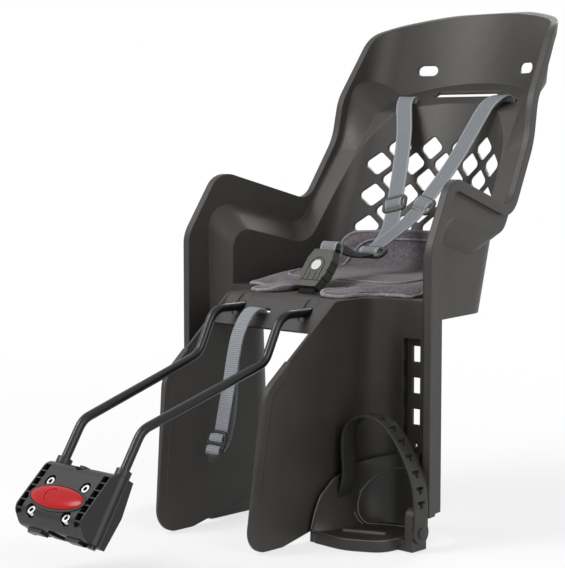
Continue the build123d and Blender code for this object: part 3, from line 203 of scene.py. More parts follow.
def moulded_plastic(name, dark, light, roughness, grain_mm, depth_mm, edge_mm):
    """Injection-moulded plastic: a fine grain, a cloudy tone, and edges rounded by the tool."""
    finish, tree = new_finish(name)
    place = add_node(tree, "ShaderNodeTexCoord").outputs["Object"]
    cloud = add_node(tree, "ShaderNodeTexNoise", {"Scale": 14.0, "Detail": 4.0}, {"Vector": place})
    tone = add_node(tree, "ShaderNodeValToRGB", (), {"Fac": cloud.outputs["Fac"]})
    tone.color_ramp.elements[0].position = 0.35
    tone.color_ramp.elements[0].color = linear(dark)
    tone.color_ramp.elements[1].position = 0.7
    tone.color_ramp.elements[1].color = linear(light)
    grain = add_node(
        tree, "ShaderNodeTexNoise", {"Scale": 500.0 / grain_mm, "Detail": 2.0}, {"Vector": place}
    )
    gloss = add_node(tree, "ShaderNodeMapRange", (), {"Value": grain.outputs["Fac"]})
    gloss.inputs["To Min"].default_value = roughness - 0.06
    gloss.inputs["To Max"].default_value = roughness + 0.06
    edge = add_node(tree, "ShaderNodeBevel", {"samples": 6, "Radius": edge_mm / 1000})
    bump = add_node(
        tree,
        "ShaderNodeBump",
        {"Strength": 0.35, "Distance": depth_mm / 1000},
        {"Height": grain.outputs["Fac"], "Normal": edge.outputs[0]},
    )
    skin = add_node(
        tree,
        "ShaderNodeBsdfPrincipled",
        {"IOR": 1.49, "Specular IOR Level": 0.4},
        {
            "Base Color": tone.outputs["Color"],
            "Roughness": gloss.outputs["Result"],
            "Normal": bump.outputs["Normal"],
        },
    )
    add_node(tree, "ShaderNodeOutputMaterial", (), {"Surface": skin.outputs[0]})
    return finish


# soot black with a soft, broad shine: the grain spreads the lamps over the rounded edges
shell_plastic = moulded_plastic(
    "grained_polypropylene_black",
    "#2f2d2a",
    "#373531",
    0.47,
    grain_mm=1.6,
    depth_mm=0.12,
    edge_mm=2.2,
)
# the same plastic on a thinner moulding, with tighter edges
foot_plastic = moulded_plastic(
    "grained_polypropylene_foot",
    "#2d2b29",
    "#353330",
    0.45,
    grain_mm=1.6,
    depth_mm=0.12,
    edge_mm=1.2,
)
# a deeper black and a slightly sharper shine, as glass-filled nylon has
block_plastic = moulded_plastic(
    "glass_filled_nylon_black", "#131313", "#191919", 0.4, grain_mm=1.2, depth_mm=0.1, edge_mm=1.2
)
# warm olive grey, clearly lighter than the black plastics around it
buckle_plastic = moulded_plastic(
    "acetal_olive_grey", "#3f3f3a", "#494944", 0.42, grain_mm=1.2, depth_mm=0.06, edge_mm=0.8
)
# a dull, rubbery dark grey without a clear highlight
strap_rubber = moulded_plastic(
    "soft_elastomer_grey", "#282725", "#302f2d", 0.5, grain_mm=1.2, depth_mm=0.1, edge_mm=0.8
)
print("moulded finishes:", [finish.name for finish in bpy.data.materials if finish != floor_paint])


# %% [markdown]
# Steel is painted or plated. Paint has a faint orange peel, which breaks the lamps' reflection up
# a little. The red button and the silver one are lacquered plastic, and share that skin.


# %% Metals and the red button
def coated_metal(name, colour, metallic, roughness, grain_mm, edge_mm, coat, shine=0.5):
    """Steel with a coat: powder paint or zinc, with a faint orange-peel skin."""
    finish, tree = new_finish(name)
    place = add_node(tree, "ShaderNodeTexCoord").outputs["Object"]
    peel = add_node(
        tree, "ShaderNodeTexNoise", {"Scale": 500.0 / grain_mm, "Detail": 1.0}, {"Vector": place}
    )
    worn = add_node(tree, "ShaderNodeMapRange", (), {"Value": peel.outputs["Fac"]})
    worn.inputs["To Min"].default_value = roughness - 0.05
    worn.inputs["To Max"].default_value = roughness + 0.08
    edge = add_node(tree, "ShaderNodeBevel", {"samples": 4, "Radius": edge_mm / 1000})
    bump = add_node(
        tree,
        "ShaderNodeBump",
        {"Strength": 0.2, "Distance": 0.0001},
        {"Height": peel.outputs["Fac"], "Normal": edge.outputs[0]},
    )
    skin = add_node(
        tree,
        "ShaderNodeBsdfPrincipled",
        {
            "Base Color": linear(colour),
            "Metallic": metallic,
            "Specular IOR Level": shine,
            "Coat Weight": coat,
            "Coat Roughness": 0.12,
        },
        {"Roughness": worn.outputs["Result"], "Normal": bump.outputs["Normal"]},
    )
    add_node(tree, "ShaderNodeOutputMaterial", (), {"Surface": skin.outputs[0]})
    return finish


# near-black paint with a clear streak of light along the bar
rod_paint = coated_metal(
    "powder_coated_steel_black",
    "#0b0b0c",
    0.0,
    0.3,
    grain_mm=1.5,
    edge_mm=0.5,
    coat=0.1,
    shine=0.32,
)
# bright bluish-white metal: small points of light in the dark wells of the block
zinc_steel = coated_metal(
    "zinc_plated_steel", "#d9d9d6", 1.0, 0.28, grain_mm=1.0, edge_mm=0.4, coat=0.0
)
# a full signal red, kept low in shine so that the white studio does not wash it out to pink
red_gloss = coated_metal(
    "polished_abs_red", "#b00c14", 0.0, 0.2, grain_mm=6.0, edge_mm=0.4, coat=0.0, shine=0.2
)
# pale silver paint, between plastic and metal
silver_gloss = coated_metal(
    "silver_lacquered_abs", "#b9b9b3", 0.5, 0.35, grain_mm=1.0, edge_mm=0.5, coat=0.1
)

finishes = {
    "shell_plastic": shell_plastic,
    "footrest_plastic": foot_plastic,
    "block_plastic": block_plastic,
    "rod_steel": rod_paint,
    "plain_steel": zinc_steel,
    "red_button": red_gloss,
    "strap_rubber": strap_rubber,
    "buckle_plastic": buckle_plastic,
    "silver_button": silver_gloss,
}
for part in frame["record"]["subparts"]:
    if part["material_slot"] in finishes:
        mesh = nodes[part["node"]].data
        mesh.materials.clear()
        mesh.materials.append(finishes[part["material_slot"]])
        print(part["node"], "gets", finishes[part["material_slot"]].name)

# %% [markdown]
# ## Woven webbing
# A harness strap is a flat band with a fine twill and a firm edge. Its band is a grid between two
# smooth edge lines, and the grid carries its own map in metres: U across the band and V along it.
# The weave reads that map, so that it turns with the strap.


# %% Webbing finish and a function for bands
MM = 0.001
WEBBING_WIDTH = 25.0
WEBBING_THICKNESS = 1.8
BAND_COLUMNS = 6
BAND_EDGE = 0.35
SELVEDGE = 2.0


def at(x, y, z):
    """A place on the CAD drawing, in millimetres, as a place in the frame."""
    return Vector((x, y, z)) * MM + Vector((0, FRAME_SHIFT, 0))


def woven_webbing(name, dark, light, selvedge, pitch_mm, slant):
    """Polyester twill: slanting ribs that meet in the middle, and two plain edges."""
    finish, tree = new_finish(name)
    place = add_node(tree, "ShaderNodeUVMap", {"uv_map": "weave"}).outputs["UV"]
    axes = add_node(tree, "ShaderNodeSeparateXYZ", (), {"Vector": place})
    side = add_node(tree, "ShaderNodeMath", {"operation": "ABSOLUTE"}, {0: axes.outputs["X"]})
    twill = add_node(
        tree,
        "ShaderNodeMath",
        {"operation": "MULTIPLY_ADD", 1: slant},
        {0: side.outputs[0], 2: axes.outputs["Y"]},
    )
    # the real ribs are about 1.5 mm apart; they are drawn coarser, to be seen from two metres
    turn = add_node(
        tree,
        "ShaderNodeMath",
        {"operation": "MULTIPLY", 1: 2 * pi / (pitch_mm * MM)},
        {0: twill.outputs[0]},
    )
    wave = add_node(tree, "ShaderNodeMath", {"operation": "SINE"}, {0: turn.outputs[0]})
    rib = add_node(
        tree, "ShaderNodeMath", {"operation": "MULTIPLY_ADD", 1: 0.5, 2: 0.5}, {0: wave.outputs[0]}
    )
    tone = add_node(tree, "ShaderNodeMix", {"data_type": "RGBA"}, {0: rib.outputs[0]})
    tone.inputs[6].default_value = linear(dark)
    tone.inputs[7].default_value = linear(light)
    firm = add_node(
        tree,
        "ShaderNodeMath",
        {"operation": "GREATER_THAN", 1: (WEBBING_WIDTH / 2 - SELVEDGE) * MM},
        {0: side.outputs[0]},
    )
    whole = add_node(
        tree, "ShaderNodeMix", {"data_type": "RGBA"}, {0: firm.outputs[0], 6: tone.outputs[2]}
    )
    whole.inputs[7].default_value = linear(selvedge)
    bump = add_node(
        tree, "ShaderNodeBump", {"Strength": 0.6, "Distance": 0.0004}, {"Height": rib.outputs[0]}
    )
    skin = add_node(
        tree,
        "ShaderNodeBsdfPrincipled",
        {"Roughness": 0.8, "Specular IOR Level": 0.2, "Sheen Weight": 0.06, "Sheen Roughness": 0.5},
        {"Base Color": whole.outputs[2], "Normal": bump.outputs["Normal"]},
    )
    add_node(tree, "ShaderNodeOutputMaterial", (), {"Surface": skin.outputs[0]})
    return finish


# light grey with a herringbone of slanting ribs and a paler edge
grey_webbing = woven_webbing("polyester_twill_grey", "#6c6f74", "#919499", "#9da0a4", 3.0, 0.8)
# the safety strap is paler, and its ribs lie straight across
ribbed_webbing = woven_webbing("polyester_ribbed_grey", "#7a7d82", "#9b9ea3", "#a3a6aa", 2.6, 0.0)
# black webbing drinks the light: only its edges show
black_webbing = woven_webbing("polyester_twill_black", "#08080a", "#121214", "#0d0d0f", 3.2, 0.8)


def smooth_line(places):
    """Points along a smooth line that is drawn by the given places."""
    curve = bpy.data.curves.new("edge_line", "CURVE")
    curve.dimensions = "3D"
    curve.resolution_u = 8
    spline = curve.splines.new("NURBS")
    spline.points.add(len(places) - 1)
    for point, place in zip(spline.points, places):
        point.co = (*place, 1.0)
    spline.order_u = 3
    spline.use_endpoint_u = True
    holder = bpy.data.objects.new("edge_line", curve)
    bpy.context.scene.collection.objects.link(holder)
    bpy.context.view_layer.update()
    mesh = bpy.data.meshes.new_from_object(holder)
    line = [vertex.co.copy() for vertex in mesh.vertices]
    bpy.data.objects.remove(holder)
    bpy.data.meshes.remove(mesh)
    return line


def take(obj):
    """Make one object the only selected and active one."""
    bpy.ops.object.select_all(action="DESELECT")
    obj.select_set(True)
    bpy.context.view_layer.objects.active = obj


def new_object(name, data):
    """A new object in the scene, selected and active."""
    obj = bpy.data.objects.new(name, data)
    bpy.context.scene.collection.objects.link(obj)
    take(obj)
    return obj


def apply_modifier(obj, kind, **settings):
    """Add a modifier to the active object, set it and apply it."""
    change = obj.modifiers.new(kind.lower(), kind)
    for name, value in settings.items():
        setattr(change, name, value)
    bpy.ops.object.modifier_apply(modifier=change.name)


def face_outwards():
    """Turn all faces of the active object outwards."""
    bpy.ops.object.mode_set(mode="EDIT")
    bpy.ops.mesh.select_all(action="SELECT")
    bpy.ops.mesh.normals_make_consistent(inside=False)
    bpy.ops.object.mode_set(mode="OBJECT")


def band(name, stations, width_mm, thickness_mm, finish):
    """Webbing along stations: each has a place and the way across the band there."""
    half = width_mm * MM / 2
    lefts = smooth_line([place - across.normalized() * half for place, across in stations])
    rights = smooth_line([place + across.normalized() * half for place, across in stations])
    corners = []
    weave = []
    along = 0.0
    last = lefts[0].lerp(rights[0], 0.5)
    for left, right in zip(lefts, rights):
        middle = left.lerp(right, 0.5)
        along += (middle - last).length
        last = middle
        for column in range(BAND_COLUMNS + 1):
            share = column / BAND_COLUMNS
            corners.append(left.lerp(right, share))
            weave.append(((share - 0.5) * width_mm * MM, along))
    row = BAND_COLUMNS + 1
    faces = [
        (r * row + c, r * row + c + 1, (r + 1) * row + c + 1, (r + 1) * row + c)
        for r in range(len(lefts) - 1)
        for c in range(BAND_COLUMNS)
    ]
    mesh = bpy.data.meshes.new(name)
    mesh.from_pydata(corners, [], faces)
    layer = mesh.uv_layers.new(name="weave")
    for loop in mesh.loops:
        layer.data[loop.index].uv = weave[loop.vertex_index]
    mesh.materials.append(finish)
    obj = new_object(name, mesh)
    apply_modifier(obj, "SOLIDIFY", thickness=thickness_mm * MM, offset=0.0)
    apply_modifier(obj, "BEVEL", width=BAND_EDGE * MM, segments=2)
    face_outwards()
    bpy.ops.object.shade_smooth_by_angle(angle=radians(40))
    print(name, "length mm:", round(along / MM))
    return obj


def belong(obj, body, slot, *replaced):
    """Say which body a piece moves with, and the CAD nodes that it takes the place of; slot is not
    used.
    """
    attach(obj, body)
    if replaced:
        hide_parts(*replaced)


TURN_STEPS = 6
TURN_SPREAD = 1.08  # the smooth line cuts its corners, so they are set a little further out


def bar_turn(y, z, radius, first, last, x):
    """Stations of the stitched loop round an anchor bar, from one angle to another."""
    stations = []
    for k in range(TURN_STEPS + 1):
        angle = radians(first + (last - first) * k / TURN_STEPS)
        place = at(
            x, y + TURN_SPREAD * radius * sin(angle), z + TURN_SPREAD * radius * cos(angle)
        )
        stations.append((place, Vector((1, 0, 0))))
    return stations


print("webbing finishes:", grey_webbing.name, ribbed_webbing.name, black_webbing.name)


# %% [markdown]
# ## Harness
# Each shoulder strap is looped round a bar under the shelf, comes up through its slot, falls over
# the edge of the shelf and runs down to the joiner. It stays flat, so the way across it is the
# seat's left-right line, turned square to the strap. The strap of the child's left lies on top.


# %% Shoulder straps
BAR_LOOP = 3.45
LEFT_RIGHT = Vector((1, 0, 0))


def flat_stations(places):
    """Give each place the left-right line turned square to the strap's way there."""
    stations = []
    for k, place in enumerate(places):
        way = (places[min(k + 1, len(places) - 1)] - places[max(k - 1, 0)]).normalized()
        stations.append((place, LEFT_RIGHT - way * way.x))
    return stations


for side, name in ((1, "left"), (-1, "right")):
    lift = Vector((0, -0.491, 0.871)) * (1.25 * side * MM)
    run = [
        at(side * 84, 266.7, 529),
        at(side * 82.5, 263, 536),
        at(side * 77, 250, 533),
        at(side * 71, 238, 523),
        at(side * 65.5, 232, 510),
        at(side * 56, 221, 484),
        at(side * 43, 197, 440),
        at(side * 24.3, 161, 390) + lift,
        at(side * 19, 151, 376) + lift,
        at(side * 8, 131, 357) + lift,
        at(0, 94, 336) + lift,
        at(0, 84, 330.5) + lift,
    ]
    loop = bar_turn(266.7, 521.2, BAR_LOOP, 40, 290, side * 84)
    strap = band(
        "shoulder_webbing_" + name,
        loop + flat_stations(run),
        WEBBING_WIDTH,
        WEBBING_THICKNESS,
        grey_webbing,
    )
    belong(strap, "seat", "webbing", "shoulder_strap_" + name)

# %% [markdown]
# Sliders and joiner are moulded frames. A frame is a tube along a rounded rectangle, and the
# webbing rises over its middle bar, so that a short hump of it shows inside the frame.


# %% Sliders and joiner
FRAME_POINTS = 48
# the hump's side view: shares of its length and of its rise
HUMP_PROFILE = [
    (-0.5, 0.0),
    (-0.36, 0.05),
    (-0.3, 0.9),
    (0.0, 1.15),
    (0.3, 0.9),
    (0.36, 0.05),
    (0.5, 0.0),
]


def tube(name, places, radius_mm, closed, finish):
    """A round tube along the given places."""
    curve = bpy.data.curves.new(name, "CURVE")
    curve.dimensions = "3D"
    curve.bevel_depth = radius_mm * MM
    curve.bevel_resolution = 3
    curve.use_fill_caps = True
    spline = curve.splines.new("POLY")
    spline.points.add(len(places) - 1)
    for point, place in zip(spline.points, places):
        point.co = (*place, 1.0)
    spline.use_cyclic_u = closed
    new_object(name, curve)
    bpy.ops.object.convert(target="MESH")
    obj = bpy.context.object
    obj.data.materials.clear()
    obj.data.materials.append(finish)
    bpy.ops.object.shade_smooth_by_angle(angle=radians(50))
    return obj


def rounded_frame(
    name, middle, across, way, width_mm, length_mm, radius_mm, finish=buckle_plastic
):
    """A moulded ring round a flat strap: a tube along a rounded rectangle."""
    places = []
    for k in range(FRAME_POINTS):
        angle = 2 * pi * k / FRAME_POINTS
        east = abs(cos(angle)) ** 0.5 * (1 if cos(angle) > 0 else -1)
        north = abs(sin(angle)) ** 0.5 * (1 if sin(angle) > 0 else -1)
        aside = across * (east * width_mm * MM / 2)
        places.append(middle + aside + way * (north * length_mm * MM / 2))
    return tube(name, places, radius_mm, True, finish)


def hump(name, middle, across, way, width_mm, length_mm, rise_mm, finish=grey_webbing):
    """Webbing that climbs over a frame's middle bar."""
    out = across.cross(way).normalized()
    stations = [
        (middle + way * (share * length_mm * MM) + out * (rise * rise_mm * MM), across)
        for share, rise in HUMP_PROFILE
    ]
    return band(name, stations, width_mm, WEBBING_THICKNESS, finish)


for side, name in ((1, "left"), (-1, "right")):
    way = (at(side * 43, 198, 440) - at(side * 19, 152, 376)).normalized()
    across = (LEFT_RIGHT - way * way.x).normalized()
    middle = at(side * 24.3, 162.1, 390.5)
    slider = rounded_frame("slider_frame_" + name, middle, across, way, 33, 22, 2.7)
    belong(slider, "seat", "buckle_plastic", "strap_slider_" + name)
    over = hump("slider_webbing_" + name, middle, across, way, WEBBING_WIDTH, 20, 4.0)
    belong(over, "seat", "webbing")

joiner_way = Vector((0, 0.871, 0.491))
joiner_place = at(0, 85, 331)
joiner = rounded_frame("joiner_frame", joiner_place, LEFT_RIGHT, joiner_way, 42, 17, 3.6)
belong(joiner, "seat", "buckle_plastic", "strap_joiner")
joined = hump("joiner_webbing", joiner_place, LEFT_RIGHT, joiner_way, 30, 17, 5.5)
belong(joined, "seat", "webbing")

# %% [markdown]
# ## Straps of the buckle
# A dark strap runs from the joiner to the buckle and twists on its way. A grey loop lies over the
# buckle's top, and a short dark strap under its foot holds it to the pan.


# %% Joiner strap, buckle loop and crotch strap
buckle_way = Vector((0, 0.616, 0.788))
buckle_out = Vector((0, -0.788, 0.616))


def in_buckle(along, forward):
    """A place along the buckle from its foot, and before its middle plane."""
    return at(0, -48, 286) + buckle_way * (along * MM) + buckle_out * ((forward - 7.0) * MM)


twist = [
    (at(0, 82, 329), Vector((1, 0, 0))),
    (at(0, 68, 329), Vector((1, 0, -0.1))),
    (at(1, 50, 332.5), Vector((0.85, 0, -0.5))),
    (at(2, 31, 336.5), Vector((0.75, 0, -0.65))),
    (in_buckle(80, -8), Vector((0.85, 0, -0.5))),
    (in_buckle(76, -2), Vector((1, 0, 0))),
    (in_buckle(57, -1.2), Vector((1, 0, 0))),
]
dark = band("joiner_strap_webbing", twist, WEBBING_WIDTH, WEBBING_THICKNESS, black_webbing)
belong(dark, "seat", "dark_webbing", "joiner_strap")

loop_side = [(58, 1.2), (70, 1.4), (78, 4.5), (84, 2.0), (84, -7.0), (78, -11.0), (70, -11.5)]
over_top = [(in_buckle(along, forward), LEFT_RIGHT) for along, forward in loop_side]
patch = band("buckle_loop_webbing", over_top, WEBBING_WIDTH, WEBBING_THICKNESS, grey_webbing)
belong(patch, "seat", "webbing", "buckle_loop")

crotch = bar_turn(-39, 278.35, BAR_LOOP, 40, 290, 0)
crotch += [(at(0, -40.5, 284), LEFT_RIGHT), (at(0, -40, 290), LEFT_RIGHT)]
crotch += [(in_buckle(13, 0), LEFT_RIGHT), (in_buckle(24, 0), LEFT_RIGHT)]
short = band("crotch_strap_webbing", crotch, WEBBING_WIDTH, WEBBING_THICKNESS, black_webbing)
belong(short, "seat", "dark_webbing", "crotch_strap")

# %% [markdown]
# ## Safety strap
# This strap goes round the bicycle's frame. It leaves the bridge through a slot, folds over and
# hangs down to a ladder lock. The webbing is doubled: the second layer hangs behind the first.


# %% Safety strap
SAFETY_X = -17.0
SAFETY_WIDTH = 21.0
hanging = [
    at(SAFETY_X, -104, 268),
    at(SAFETY_X, -109, 272.5),
    at(SAFETY_X, -122, 271),
    at(SAFETY_X, -134, 260),
    at(SAFETY_X, -145, 241.5),
    at(SAFETY_X, -150, 225),
    at(SAFETY_X, -155, 204),
    at(SAFETY_X, -159, 184),
    at(SAFETY_X, -165.5, 160),
    at(SAFETY_X, -170, 141),
    at(SAFETY_X, -172.6, 129),
    at(SAFETY_X, -176.5, 118),
    at(SAFETY_X, -180, 112),
]
outer = bar_turn(-98.2, 262.5, BAR_LOOP, 40, 250, SAFETY_X)
outer += [(place, LEFT_RIGHT) for place in hanging]
safety = band("safety_webbing", outer, SAFETY_WIDTH, WEBBING_THICKNESS, ribbed_webbing)
belong(safety, "seat", "webbing", "safety_strap")
behind = [
    at(SAFETY_X - 2.2, -150.2, 215),
    at(SAFETY_X - 1, -154.5, 187),
    at(SAFETY_X + 1, -157.5, 160),
    at(SAFETY_X + 1, -161.5, 138),
    at(SAFETY_X + 1, -167, 120),
    at(SAFETY_X + 0.5, -175, 107),
    at(SAFETY_X, -183, 103),
]
back_layer = band(
    "safety_webbing_back",
    [(place, LEFT_RIGHT) for place in behind],
    SAFETY_WIDTH,
    WEBBING_THICKNESS,
    ribbed_webbing,
)
belong(back_layer, "seat", "webbing")

# %% [markdown]
# The ladder lock is a small black frame with one bar across its middle. The webbing climbs over
# that bar, so it shows as a hump in each of the two windows. A tab at its foot tips the lock open.

# %% Ladder lock
LOCK_WAY = Vector((0, 0.38, 0.925)).normalized()
LOCK_OUT = LEFT_RIGHT.cross(LOCK_WAY)
LOCK_PLACE = at(SAFETY_X, -182, 113)
LOCK_WIDTH = 27.0
LOCK_LENGTH = 30.0
LOCK_FRAME_RADIUS = 2.2
LOCK_BAR_RADIUS = 2.0
LOCK_BAR_FORWARD = 0.6
TAB_LENGTH = 9.0
TAB_FOOT = 5.5
TAB_TOP = 13.5
TAB_FLATNESS = 0.2
HUMP_LENGTH = 12.0
HUMP_RISE = 2.6
HUMP_SHIFT = 7.2

lock = rounded_frame(
    "ladder_lock_frame",
    LOCK_PLACE,
    LEFT_RIGHT,
    LOCK_WAY,
    LOCK_WIDTH,
    LOCK_LENGTH,
    LOCK_FRAME_RADIUS,
    block_plastic,
)
half_bar = LEFT_RIGHT * (LOCK_WIDTH / 2 * MM)
bar_place = LOCK_PLACE + LOCK_OUT * (LOCK_BAR_FORWARD * MM)
bar_ends = [bar_place - half_bar, bar_place + half_bar]
lock_bar = tube("lock_bar", bar_ends, LOCK_BAR_RADIUS, False, block_plastic)
tab_place = LOCK_PLACE - LOCK_WAY * ((LOCK_LENGTH + TAB_LENGTH) / 2 * MM)
bpy.ops.object.select_all(action="DESELECT")
bpy.ops.mesh.primitive_cone_add(
    vertices=4,
    radius1=TAB_FOOT * MM,
    radius2=TAB_TOP * MM,
    depth=TAB_LENGTH * MM,
    rotation=(0, 0, pi / 4),
)
tab = bpy.context.object
bpy.ops.object.transform_apply(location=True, rotation=True, scale=True)
for vertex in tab.data.vertices:
    across, out, up = vertex.co
    flat_out = LOCK_OUT * (out * TAB_FLATNESS)
    vertex.co = tab_place + LEFT_RIGHT * across - flat_out + LOCK_WAY * up
apply_modifier(tab, "BEVEL", width=1.2 * MM, segments=3)
tab.data.materials.append(block_plastic)
bpy.ops.object.shade_smooth_by_angle(angle=radians(40))
take(lock)
lock_bar.select_set(True)
tab.select_set(True)
bpy.ops.object.join()
belong(lock, "seat", "block_plastic", "ladder_lock")
for name, shift in (("upper", HUMP_SHIFT), ("lower", -HUMP_SHIFT)):
    climbing = hump(
        "ladder_lock_webbing_" + name,
        LOCK_PLACE + LOCK_WAY * (shift * MM),
        LEFT_RIGHT,
        LOCK_WAY,
        SAFETY_WIDTH,
        HUMP_LENGTH,
        HUMP_RISE,
        ribbed_webbing,
    )
    belong(climbing, "seat", "webbing")
print("ladder lock faces:", len(lock.data.polygons))

# %% [markdown]
# ## Seat pad
# The pad is a felt cover over foam. A copy of the CAD pad gets a hollow filling where seat and
# back meet, one skin by voxel remesh, and a thinner front. A cloth simulation with air pressure
# then puffs it up, and each point may move only a few millimetres, outwards and not into the pan.


# %% Felt
def felt(name, dark, light, fibre_mm):
    """Needled felt: short fibres in every direction, no shine and a soft bright rim."""
    finish, tree = new_finish(name)
    place = add_node(tree, "ShaderNodeTexCoord").outputs["Object"]
    # single fibres are finer than a pixel of the picture, so tufts of them are drawn
    fibre = add_node(
        tree, "ShaderNodeTexNoise", {"Scale": 500.0 / fibre_mm, "Detail": 5.0}, {"Vector": place}
    )
    tone = add_node(tree, "ShaderNodeValToRGB", (), {"Fac": fibre.outputs["Fac"]})
    tone.color_ramp.elements[0].position = 0.36
    tone.color_ramp.elements[0].color = linear(dark)
    tone.color_ramp.elements[1].position = 0.66
    tone.color_ramp.elements[1].color = linear(light)
    bump = add_node(
        tree,
        "ShaderNodeBump",
        {"Strength": 0.5, "Distance": 0.0006},
        {"Height": fibre.outputs["Fac"]},
    )
    skin = add_node(
        tree,
        "ShaderNodeBsdfPrincipled",
        {"Roughness": 0.95, "Sheen Weight": 0.3, "Sheen Roughness": 0.4},
        {"Base Color": tone.outputs["Color"], "Normal": bump.outputs["Normal"]},
    )
    add_node(tree, "ShaderNodeOutputMaterial", (), {"Surface": skin.outputs[0]})
    return finish


# a warm mauve grey, matt from every side
pad_felt = felt("needled_felt_mauve_grey", "#575155", "#726b70", 2.2)
# the piping is the same felt, a step lighter, so that it draws the pad's panels
piping_felt = felt("felt_piping_light", "#837c81", "#9d969b", 2.2)
print("felts:", pad_felt.name, piping_felt.name)

# %% [markdown]
# Seat and back of the pad meet in a round hollow. Rays cast backwards find the back's lean in
# many sections, and a filling with a round front is drawn into each corner. Joined to the copy
# and remeshed, both become one skin.

# %% Pad: copy, fill the hollow, remesh
PAD_THICKNESS = 12.0
HOLLOW_RADIUS = 46.0
HOLLOW_LEAST = 6.0
HOLLOW_REACH = 112.0
HOLLOW_STEPS = 18
ARC_STEPS = 8
SIGHT_LOW = 4.0
SIGHT_HIGH = 30.0
FILL_OVERLAP = 5.0
VOXEL = 4.2
pad_low = Vector(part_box("seat_cushion")[0])
seat_top = pad_low.z + PAD_THICKNESS * MM

pad = new_object("seat_pad", nodes["seat_cushion"].data.copy())
bpy.ops.object.mode_set(mode="EDIT")
bpy.ops.mesh.select_all(action="SELECT")
bpy.ops.mesh.remove_doubles(threshold=0.00005)
bpy.ops.object.mode_set(mode="OBJECT")
bpy.context.view_layer.update()

inside = Vector((0, FILL_OVERLAP * MM, 0))
under = Vector((0, 0, -FILL_OVERLAP * MM))
rows = []
for k in range(-HOLLOW_STEPS, HOLLOW_STEPS + 1):
    x = k / HOLLOW_STEPS * HOLLOW_REACH * MM
    sights = []
    for height in (SIGHT_LOW, SIGHT_HIGH):
        eye = Vector((x, 0.0, seat_top + height * MM))
        hit, place, _, _ = pad.ray_cast(eye, Vector((0, 1, 0)))
        sights.append(place if hit else None)
    if None in sights:
        continue
    lean = (sights[1].y - sights[0].y) / (sights[1].z - sights[0].z)
    foot = sights[0].y - lean * SIGHT_LOW * MM
    growth = 1 - (abs(k) / HOLLOW_STEPS) ** 4
    radius = (HOLLOW_LEAST + (HOLLOW_RADIUS - HOLLOW_LEAST) * growth) * MM
    middle_y = foot + lean * radius - radius * sqrt(1 + lean * lean)
    steepest = pi / 2 - (lean / sqrt(1 + lean * lean))
    arc = []
    for t in range(ARC_STEPS + 1):
        turn = steepest * t / ARC_STEPS
        arc.append(Vector((x, middle_y + radius * sin(turn), seat_top + radius * (1 - cos(turn)))))
    corner = Vector((x, foot, seat_top)) + inside + under
    rows.append(arc + [arc[-1] + inside, corner, arc[0] + under])


def skin_of_rows(rows):
    """Faces between rows of points: each row is a ring, and both ends are capped."""
    count = len(rows[0])
    last = (len(rows) - 1) * count
    faces = []
    for here in range(0, last, count):
        after = here + count
        for c in range(count):
            beside = (c + 1) % count
            faces.append((here + c, here + beside, after + beside, after + c))
    return faces + [tuple(reversed(range(count))), tuple(range(last, last + count))]


filling_mesh = bpy.data.meshes.new("hollow_filling")
filling_mesh.from_pydata([place for row in rows for place in row], [], skin_of_rows(rows))
filling = new_object("hollow_filling", filling_mesh)
face_outwards()
take(pad)
filling.select_set(True)
bpy.ops.object.join()
pad.data.remesh_voxel_size = VOXEL * MM
bpy.ops.object.voxel_remesh()
apply_modifier(pad, "SMOOTH", factor=0.5, iterations=9)

FRONT_THIN = 0.5
THIN_FROM = 0.075
THIN_OVER = 0.08
SEAT_PART = 4.0
for vertex in pad.data.vertices:
    ahead = min(1.0, max(0.0, (THIN_FROM + FRAME_SHIFT - vertex.co.y) / THIN_OVER))
    ease = ahead * ahead * (3 - 2 * ahead)
    if vertex.co.z < seat_top + SEAT_PART * MM:
        vertex.co.z = pad_low.z + (vertex.co.z - pad_low.z) * (1 - FRONT_THIN * ease)
print("pad points:", len(pad.data.vertices))

# %% [markdown]
# The cloth simulation runs 20 steps with air pressure inside the pad. A point that rests on the
# pan or on the back stays where it is, and every other one moves by its limit at most.

# %% Pad: air pressure
PUFF_LIMIT = 5.0 * MM
PUFF_STEPS = 20
AIR_PRESSURE = 4.0
start = [vertex.co.copy() for vertex in pad.data.vertices]
faces_out = [vertex.normal.copy() for vertex in pad.data.vertices]
cloth = pad.modifiers.new("puff", "CLOTH")
cloth.settings.use_pressure = True
cloth.settings.uniform_pressure_force = AIR_PRESSURE
cloth.settings.effector_weights.gravity = 0.0
cloth.point_cache.frame_end = PUFF_STEPS
for step in range(1, PUFF_STEPS + 1):
    bpy.context.scene.frame_set(step)
blown = pad.evaluated_get(bpy.context.evaluated_depsgraph_get()).data.vertices
puffed = [vertex.co.copy() for vertex in blown]
pad.modifiers.remove(cloth)
bpy.context.scene.frame_set(1)
for vertex, here, out, moved in zip(pad.data.vertices, start, faces_out, puffed):
    rests = out.z < -0.4 or out.y > 0.55
    way = moved - here
    if rests or way.length == 0:
        continue
    vertex.co = here + way.normalized() * min(way.length, PUFF_LIMIT)
take(pad)
apply_modifier(pad, "SUBSURF", levels=1, render_levels=1)
pad.data.materials.clear()
pad.data.materials.append(pad_felt)
bpy.ops.object.shade_smooth()
bpy.context.view_layer.update()
print("pad faces:", len(pad.data.polygons))

# %% [markdown]
# Two lines of piping are sewn on: one follows the border, the other goes round the middle panel.
# Their places are drawn near the pad and then laid on its skin.


# %% Piping
PIPING_LIFT = 0.7


def laid_on_pad(half):
    """A closed line, mirrored left to right, with each point moved to the pad's skin."""
    whole = half + [(-x, y, z) for x, y, z in reversed(half) if x != 0]
    whole = whole + whole[:1]
    line = []
    for place in smooth_line([at(*point) for point in whole]):
        _, skin, out, _ = pad.closest_point_on_mesh(place)
        line.append(skin + out * (PIPING_LIFT * MM))
    return line[:-1]


